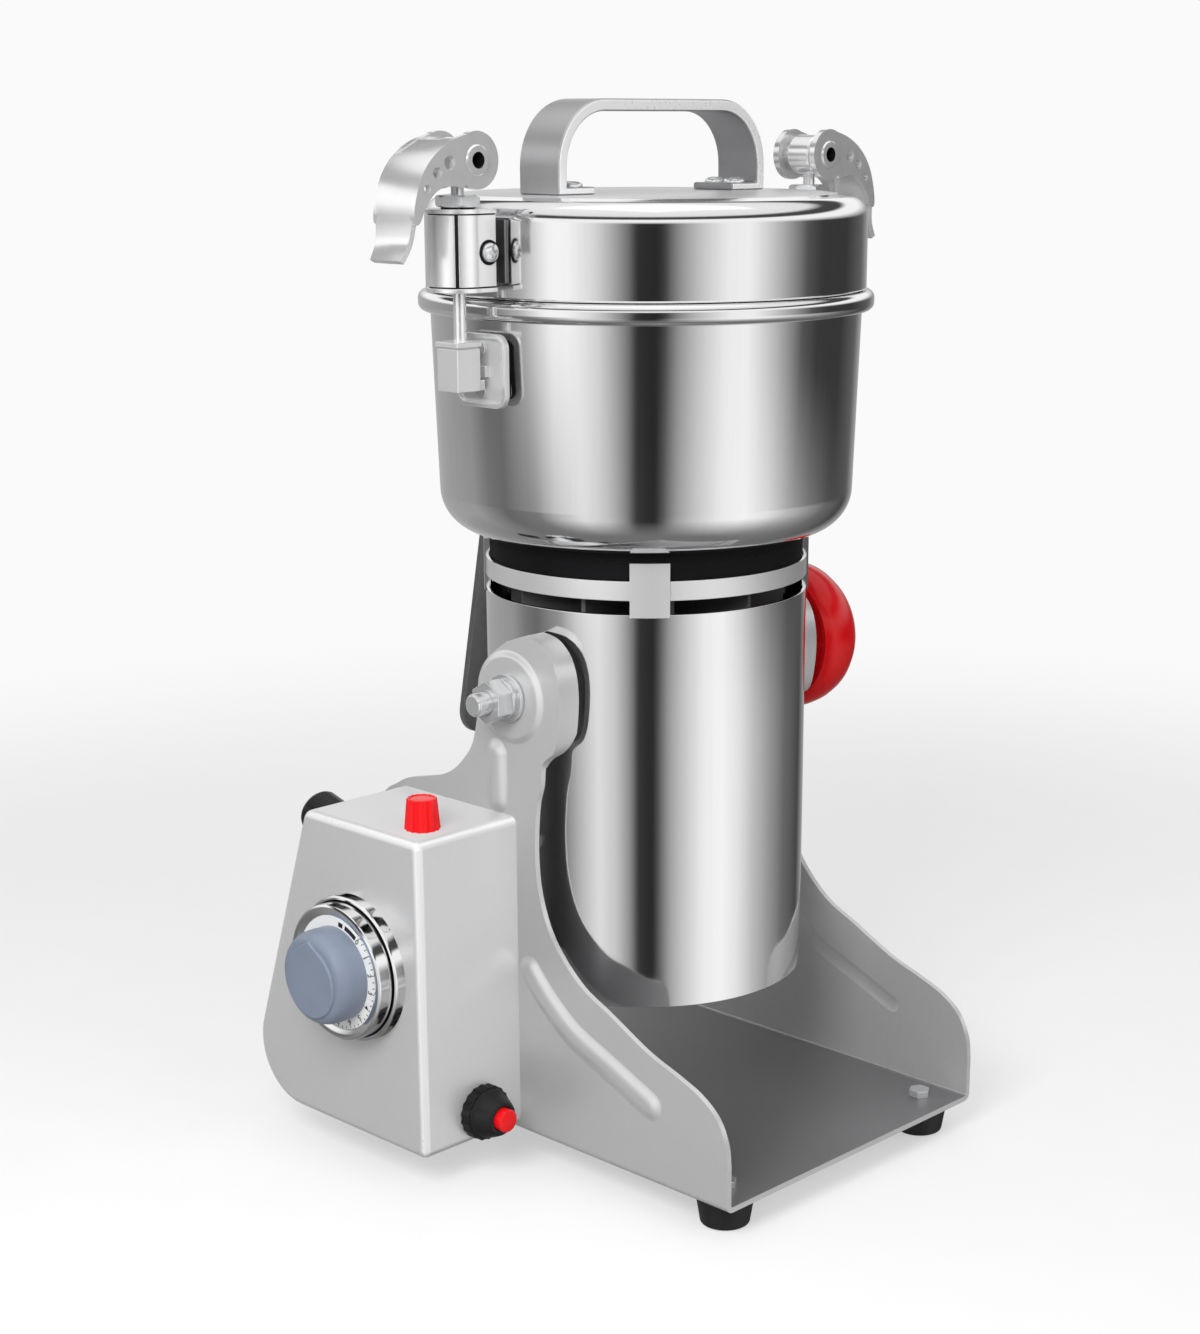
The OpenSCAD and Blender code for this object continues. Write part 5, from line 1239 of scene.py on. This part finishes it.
@dataclass
class Latch(SubAssembly):
    """Toggle latch: hanging housing, sliding rod with its claw, and lever."""

    side: int = -1
    rod: float = 87.0
    rod_r: float = 2.1
    bore_r: float = 2.3
    pin: float = 83.0
    pin_z: float = 321.8
    top: float = 335.3
    half: float = 10.0
    head_d: float = 6.2
    head_h: float = 2.0
    height: float = 26.0
    housing_back: float = 79.8
    wall: float = 1.4
    lip: float = 1.4
    seam: float = 1.1
    seam_turn: float = 45.0
    seam_reach: Point = (7.5, 11.5)
    claw_half: float = 5.0
    claw_out: Point = (82.9, 92.9)
    claw_low: float = 277.5
    claw_top: float = 293.5
    toe_out: float = 79.9
    flats: float = 13.0
    lever_z: float = 350.3
    reach: float = 27.0
    drop: float = 30.0
    half_w: float = 9.8
    flange_t: float = 2.4
    sheet_t: float = 2.0
    ear_r: float = 9.0
    arm_hole_r: float = 2.2
    arm: tuple[Point, ...] = (
        (0.1, 0.28), (0.4, 0.2), (0.66, 0.06), (0.86, -0.15), (0.97, -0.42), (0.99, -0.62),
        (0.9, -0.62), (0.8, -0.45), (0.62, -0.3), (0.4, -0.26), (0.2, -0.28))
    sheet: tuple[Point, ...] = (
        (0.36, 0.21), (0.66, 0.06), (0.86, -0.15), (0.97, -0.42), (1.0, -0.66), (1.04, -0.84),
        (1.142, -1.0))
    arm_holes: tuple[tuple[float, float, float], ...] = (
        (0.43, -0.02, 1.0), (0.62, -0.12, 0.8), (0.78, -0.28, 0.6))

    @property
    def word(self) -> str:
        """The side of the mill that this latch is on."""
        return "left" if self.side < 0 else "right"

    def on_rod(self, z: float) -> Vector:
        """Returns the rod's place at a height."""
        return at(0, self.side * self.rod, z)

    def fixings(self) -> Piece:
        """Makes the two cross screws that carry the housing, and the nut on its top."""
        y, parts = self.side * self.pin, []
        for s in (-1, 1):
            seat_at = at(s * (self.half + 0.2), y, self.pin_z)
            parts.append(cross_screw(seat_at, AHEAD * s, self.head_d, self.head_h))
            ring = lathe([(2.9, 0.0), (4.0, 0.0), (4.0, 0.25), (2.9, 0.25)], 32)
            parts.append(seat(ring, at(s * self.half, y, self.pin_z), AHEAD * s))
            parts.append(seat(prism(24, 1.6, 3.4, self.half + 0.6), at(0, y, self.pin_z), AHEAD * s))
        top_nut = nut(self.on_rod(self.top + 0.5), UP, self.flats, 3.7)
        neck = seat(prism(32, 5.4, 0, 0.7), self.on_rod(self.top))
        bore = seat(prism(32, self.bore_r, -1, 6), self.on_rod(self.top))
        parts.append(combine(combine(top_nut, [neck], "UNION"), [bore], "DIFFERENCE"))
        node = "latch_fixings_" + self.word
        fixed = finish(join(parts), node.replace("fixings", "screws"), node)

        def shaded(p: Vector, normal: Vector) -> bool:
            """Tells whether a face lies on the neck under the nut or on a ring round a pivot screw."""
            neck = self.top < p.z < self.top + 0.5 and abs(normal.z) < 0.5
            return neck or p.z < self.top and 3.2 < math.hypot(p.y - y, p.z - self.pin_z) < 4.2

        # The neck under the nut and the rings round the pivot screws are painted black as shade.
        repaint(fixed, BLACK_PAINTED_SHADE, shaded)
        return fixed

    def plan(self, grow: float, wall: float = 0.0) -> list[Point]:
        """Returns the housing's outline in plan, round outwards and open to the lid.

        Args:
            grow: How far it stands outside the housing's own outline.
            wall: Its thickness, or 0 for a filled outline.

        Returns:
            Places across and distances from the motor axis.
        """
        r, foot = self.half + grow, self.housing_back
        outer = [(r, foot), *arc((0.0, self.rod), r, 0, 180, 28), (-r, foot)]
        inner = [(wall - r, foot), *arc((0.0, self.rod), r - wall, 180, 0, 28), (r - wall, foot)]
        return [*outer, *(inner if wall else ())]

    def upright(self, ring: Sequence[Point], low: float, high: float) -> Piece:
        """Raises a plan between two heights on this latch's side."""
        return plate([at(u, self.side * v, low) for u, v in ring], UP * (high - low) * MM)

    def housing(self) -> Piece:
        """Models the hanging housing: a rolled wall with its seam, a neck painted black as shade and a lip
        at each end.
        """
        low, t = self.top - self.height, self.lip
        wall = self.upright(self.plan(0.0, self.wall), low + t + 0.4, self.top - t - 0.4)
        a = math.radians(self.seam_turn)
        along = Vector((math.cos(a), math.sin(a)))
        across = Vector((-math.sin(a), math.cos(a))) * self.seam / 2
        middle, (near, far) = Vector((0.0, self.rod)), self.seam_reach
        ring = [middle + along * r + across * k for r, k in ((near, -1), (far, -1), (far, 1), (near, 1))]
        combine(wall, [self.upright(ring, low, self.top)], "DIFFERENCE")
        parts = [wall, self.upright(self.plan(-0.35, 0.9), low + 1, self.top - 1)]
        for foot in (low, self.top - t):
            lip = self.upright(self.plan(0.6), foot, foot + t)
            bore = seat(prism(32, self.bore_r, -3, 3), self.on_rod(foot))
            parts.append(combine(lip, [bore], "DIFFERENCE"))
        node = "latch_housing_" + self.word
        shell = finish(join(parts), node + ".rolled", node, soft=0.18)

        def on_neck(p: Vector, normal: Vector) -> bool:
            """Tells whether a face lies on the neck behind the wall, which is painted black as shade."""
            away = math.hypot(p.x, abs(p.y) - self.rod) if abs(p.y) > self.rod else abs(p.x)
            return abs(away - self.half + 0.35) < 0.12 and abs(normal.z) < 0.5

        repaint(shell, BLACK_PAINTED_SHADE, on_neck)
        return shell

    def box(self, across: Point, out: Point, heights: Point) -> Piece:
        """Makes a block between two places across, two distances from the motor axis and two heights."""
        near, far = sorted((self.side * out[0], self.side * out[1]))
        return block((across[0], near, heights[0]), (across[1], far, heights[1]))

    def rod_piece(self) -> Piece:
        """Models the sliding rod with its eye on top and its lipped claw with the toe."""
        w, (inner, outer), top = self.claw_half, self.claw_out, self.claw_top
        eye = lathe([(3.6, -5.0), (6.5, -5.0), (7.0, -4.5), (7.0, 4.5), (6.5, 5.0), (3.6, 5.0)], 64)
        parts = [seat(prism(40, self.rod_r, top - 0.5, self.lever_z - 6.5), self.on_rod(0)),
                 seat(eye, self.on_rod(self.lever_z), AHEAD),
                 self.box((-w, w), (inner, outer), (self.claw_low, top - 2.2)),
                 self.box((-w + 0.4, w - 0.4), (inner + 0.4, outer - 0.4), (top - 2.4, top - 1.6)),
                 self.box((-w - 0.5, w + 0.5), (inner - 0.3, outer + 0.4), (top - 1.8, top)),
                 self.box((1.2 - w, w - 1.2), (self.toe_out, outer - 1.0),
                          (self.claw_low, self.claw_low + 3.4))]
        node = "latch_rod_" + self.word
        rod = finish(join(parts), node + ".shaped", node, soft=0.35)
        repaint(rod, MATERIALS[Slot.SATIN], lambda p, normal: p.z < top and abs(normal.z) < 0.8)
        return rod

    def on_lever(self, x: float, share: Point) -> Vector:
        """Returns the place of a lever point given as shares of its reach and drop from the pin."""
        return at(x, self.side * (self.rod + share[0] * self.reach), self.lever_z + share[1] * self.drop)

    def flange(self, low: float, high: float) -> Piece:
        """Makes one side flange of the lever, its round ear and its arm, between two places along X."""
        ear = arc((0.0, self.lever_z), self.ear_r, 0, 352.5, 47)
        disc = plate([at(low, self.side * (self.rod + u), z) for u, z in ear], AHEAD * (high - low) * MM)
        arm = plate([self.on_lever(low, p) for p in curve(self.arm, 4)], AHEAD * (high - low) * MM)
        combine(disc, [arm], "UNION")
        holes = []
        for along, rise, share in self.arm_holes:
            hole = prism(32, self.arm_hole_r * share, -20, 20)
            holes.append(seat(hole, self.on_lever(0, (along, rise)), AHEAD))
        holes.append(seat(prism(32, 3.0, -20, 20), self.on_lever(0, (0.0, 0.0)), AHEAD))
        return combine(disc, holes, "DIFFERENCE")

    def back(self) -> Piece:
        """Curves the lever's back from its root to its flared lip, narrower and rounder towards the lip."""
        line, columns = curve(self.sheet, 4), 8
        obj = added(bpy.ops.mesh.primitive_grid_add, x_subdivisions=columns,
                    y_subdivisions=len(line) - 1, size=0.02)
        for i, point in enumerate(line):
            narrow = 1.0 - 0.26 * min(1.0, max(0.0, (-point[1] - 0.33) / 0.67))
            for k in range(columns + 1):
                across = (2 * k / columns - 1) * self.half_w * narrow
                dish = 0.35 * (1 - (2 * k / columns - 1) ** 2) * min(1.0, i / 6)
                place = self.on_lever(across, point)
                obj.data.vertices[i * (columns + 1) + k].co = place + side_way(self.side * dish)
        with editing(obj):
            bpy.ops.mesh.normals_make_consistent(inside=False)
        outward = sum((f.normal.y for f in obj.data.polygons), 0.0) * self.side > 0
        apply_modifier(obj, "SOLIDIFY", thickness=self.sheet_t * MM, offset=-1.0 if outward else 1.0)
        with editing(obj):
            bpy.ops.mesh.normals_make_consistent(inside=False)
        return obj

    def lever(self) -> Piece:
        """Models the lever with its two ears, its holed arms, its curved back and its hollow pin."""
        w = self.half_w
        parts = [self.flange(-w, self.flange_t - w), self.flange(w - self.flange_t, w), self.back()]
        tube = [
            (2.6, -w - 0.5), (4.4, -w - 0.5), (4.9, -w), (4.9, -w + 0.6), (3.5, -w + 0.6),
            (3.5, w - 0.6), (4.9, w - 0.6), (4.9, w), (4.4, w + 0.5), (2.6, w + 0.5)]
        parts.append(seat(lathe(tube, 48), self.on_rod(self.lever_z), AHEAD))
        node = "latch_lever_" + self.word
        lever = finish(join(parts), node + ".curved", node, soft=0.45)
        # The hollow pin's inner wall is painted black as shade.
        repaint(lever, BLACK_PAINTED_SHADE, lambda p, normal: abs(normal.x) < 0.3
                and math.hypot(p.y - self.side * self.rod, p.z - self.lever_z) < 2.9)
        return lever

    def model(self) -> list[Piece]:
        """Models the latch from its housing out to its lever."""
        return [self.housing(), self.fixings(), self.rod_piece(), self.lever()]


@dataclass
class Studio:
    """Camera, floor, lamps and the surroundings that the metal mirrors."""

    place: Place = (0.5767, -0.5998, 0.3627)
    tilt: float = 74.33
    heading: float = 43.75
    lens: float = 64.03
    shift: Point = (-0.0347, 0.0884)
    middle: Place = (0.0, 0.0, 0.18)
    boxes: tuple[tuple[str, Place, float, float], ...] = (
        ("key_box", (0.24, -0.52, 0.5), 0.3, 3.0), ("right_box", (1.4, -0.1, 0.9), 0.8, 4.0),
        ("top_box", (0.0, 0.1, 1.8), 1.2, 1.0))
    paper: Point = (0.505, 0.515)
    backdrop: float = 0.955
    ambient: float = 0.54
    floor_glow: float = 0.47
    # Direction relative to the camera in degrees, and the brightness mirrored there
    bands: tuple[Point, ...] = (
        (-180, 0.5), (-150, 0.38), (-110, 0.28), (-96, 0.14), (-84, 0.15), (-66, 0.45), (-50, 1.0),
        (-40, 1.0), (-26, 0.74), (-16, 0.4), (-9, 0.18), (-5, 0.03), (6, 0.02), (10, 0.06), (17, 0.3),
        (27, 0.58), (42, 0.92), (54, 0.96), (66, 0.64), (78, 0.34), (90, 0.09), (102, 0.04),
        (125, 0.04), (148, 0.12), (160, 0.3), (180, 0.5))
    # The same for light that comes up from lower down, as the motor tube mirrors it
    low_bands: tuple[Point, ...] = (
        (-180, 0.5), (-150, 0.38), (-110, 0.34), (-84, 0.14), (-62, 0.2), (-46, 0.56), (-34, 0.8),
        (-22, 0.62), (-12, 0.3), (-6, 0.04), (5, 0.02), (9, 0.1), (17, 0.38), (27, 0.62), (42, 0.92),
        (56, 1.0), (70, 0.85), (84, 0.56), (100, 0.34), (119, 0.15), (146, 0.06), (162, 0.3),
        (180, 0.5))
    # Height of a mirrored ray's direction, 1 for straight up, and the brightness there
    sky: tuple[Point, ...] = (
        (0.0, 0.95), (0.38, 0.98), (0.44, 0.06), (0.58, 0.06), (0.66, 0.8), (1.0, 0.95))
    ground: float = 0.17

    def build(self) -> None:
        """Makes the camera, the lights, the floor and the world."""
        self.camera()
        self.lamps()
        self.floor()
        self.world()

    def camera(self) -> None:
        """Puts the camera at the photograph's place."""
        data = bpy.data.cameras.new("studio_camera")
        data.lens, data.sensor_width = self.lens, 36.0
        data.shift_x, data.shift_y = self.shift
        data.clip_start, data.clip_end = 0.01, 50.0
        camera = bpy.data.objects.new("studio_camera", data)
        camera.location = self.place
        camera.rotation_euler = (math.radians(self.tilt), 0.0, math.radians(self.heading))
        bpy.context.scene.collection.objects.link(camera)
        bpy.context.scene.camera = camera

    def lamps(self) -> None:
        """Puts two soft boxes beside the camera and one above, all turned to the mill's middle."""
        for name, place, size, power in self.boxes:
            data = bpy.data.lights.new(name, "AREA")
            data.shape, data.size, data.energy = "SQUARE", size, power
            lamp = bpy.data.objects.new(name, data)
            lamp.location = place
            lamp.rotation_euler = (Vector(self.middle) - Vector(place)).to_track_quat("-Z", "Y").to_euler()
            lamp.visible_glossy = name == "top_box"
            lamp.visible_camera = False
            bpy.context.scene.collection.objects.link(lamp)

    def floor(self) -> None:
        """Lays the pale floor, which shows the backdrop's own tone and keeps the mill's shadow."""
        floor = added(bpy.ops.mesh.primitive_plane_add, size=12.0, location=(0.0, 0.0, -0.0002))
        floor.name = "studio_floor"
        material = bpy.data.materials.new("floor_paper")
        material.use_nodes = True
        g = Graph(material.node_tree)
        shader = material.node_tree.nodes["Principled BSDF"]
        path = g.add("LightPath").outputs
        mirrored = g.math("MAXIMUM", path["Is Glossy Ray"], path["Is Transmission Ray"])
        seen = g.math("MAXIMUM", path["Is Camera Ray"], mirrored)
        place = g.add("TexCoord").outputs["Object"]
        fibre = g.remap(g.noise(place, Scale=40.0, Detail=3.0), 0.3, 0.7)
        tone = g.blend(fibre, *((grey, grey, grey, 1.0) for grey in self.paper))
        reach = g.add("VectorMath", {0: place}, operation="LENGTH").outputs["Value"]
        far = g.add("MapRange", {0: reach, 1: 0.35, 2: 0.95}, interpolation_type="SMOOTHERSTEP").outputs[0]
        g.tree.links.new(g.blend(far, tone, (0.0, 0.0, 0.0, 1.0)), shader.inputs["Base Color"])
        shader.inputs["Roughness"].default_value = 1.0
        shader.inputs["Specular IOR Level"].default_value = 0.0
        shader.inputs["Emission Color"].default_value = (1, 1, 1, 1)
        level = g.remap(far, 0.0, 1.0, self.floor_glow, self.backdrop)
        g.tree.links.new(g.math("MULTIPLY", seen, level), shader.inputs["Emission Strength"])
        floor.data.materials.append(material)
        floor.visible_glossy = False

    def world(self) -> None:
        """Gives the camera a plain backdrop, the surfaces plain light and the metal upright bands."""
        world = bpy.data.worlds.new("studio_world")
        world.use_nodes = True
        bpy.context.scene.world = world
        g = Graph(world.node_tree)
        g.tree.nodes.clear()
        ray = g.add("SeparateXYZ", {0: g.add("TexCoord").outputs["Generated"]})
        turn = math.radians(self.heading - 90.0)
        x, y, z = ray.outputs
        xc, ys, yc, xs = (g.math("MULTIPLY", v, f(turn)) for v, f in
                          ((x, math.cos), (y, math.sin), (y, math.cos), (x, math.sin)))
        across, aside = g.math("ADD", xc, ys), g.math("SUBTRACT", yc, xs)
        angle = g.math("ARCTAN2", aside, across)
        place = g.remap(angle, -math.pi, math.pi, 0.0, 1.0)
        level, low = (g.ramp(place, [((a + 180.0) / 360.0, v) for a, v in stops])
                      for stops in (self.bands, self.low_bands))
        bands = g.blend(g.remap(z, -0.14, -0.24), level, low)
        mirrored = g.blend(g.remap(z, 0.04, 0.22), bands, g.ramp(z, self.sky))
        mirrored = g.blend(g.remap(z, -0.40, -0.90), mirrored, (*[self.ground] * 3, 1.0))
        path = g.add("LightPath").outputs
        light = g.add("Background", {0: (1, 1, 1, 1), 1: self.ambient})
        mirror = g.add("Background", {0: mirrored, 1: 1.0})
        behind = g.add("Background", {0: (1, 1, 1, 1), 1: self.backdrop})
        gloss = g.math("MAXIMUM", path["Is Glossy Ray"], path["Is Transmission Ray"])
        first = g.add("MixShader", {0: gloss, 1: light.outputs[0], 2: mirror.outputs[0]})
        second = g.add("MixShader", {0: path["Is Camera Ray"], 1: first.outputs[0], 2: behind.outputs[0]})
        g.add("OutputWorld", {0: second.outputs[0]})


def mill() -> list[SubAssembly]:
    """Returns the sub-assemblies of the mill, from the floor up."""
    return [
        Stand("stand", {"rubber_feet": 0.4, "foot_screws": 0.25}, ("pivot_bushes",)),
        ControlBox("control box", {"control_box_screws": 0.25, "cord_gland": 0.3, "gland_cap": 0.3},
                   ("timer_body", "lamp_holder", "terminal_block", "timer_spindle")),
        MotorUnit("motor unit",
                  {"pivot_bolt": 0.3, "pivot_nuts": 0.3, "rear_handle": 0.5, "rear_handle_screws": 0.25,
                   "motor_end_cap": 0.4},
                  ("motor_screws", "stator_core", "field_coils", "brush_holders", "carbon_brushes",
                   "motor_bearings", "shaft_seal", "lock_stud")),
        Bowl("bowl", {"catch_rivets": 0.25}),
        ClampKnob("clamp knob"),
        SubAssembly("rotor",
                    {"lower_blade": 0.3, "upper_blade": 0.3, "blade_nut": 0.4, "cooling_fan": 0.2},
                    ("motor_shaft", "rotor_core", "commutator", "blade_spacer")),
        Lid("lid", {"latch_brackets": 0.3}, ("lid_liner", "lid_gasket")),
        *[Latch("latch " + word, side=side) for word, side in (("left", -1), ("right", 1))],
    ]


def main() -> None:
    """Builds the studio and every sub-assembly, and logs each piece."""
    logging.basicConfig(level=logging.INFO, format="%(name)s: %(message)s")
    Studio().build()
    for part in mill():
        for piece in part.build():
            LOG.info("%s: %s, %d faces", part.name, piece.name, len(piece.data.polygons))
    bpy.context.scene.view_settings.view_transform = "Standard"
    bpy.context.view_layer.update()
    for low, high, axis in zip(CAD_BOX[0], CAD_BOX[1], "xyz"):
        LOG.info("CAD %s from %.4f to %.4f", axis, low, high)


if __name__ == "__main__":
    main()
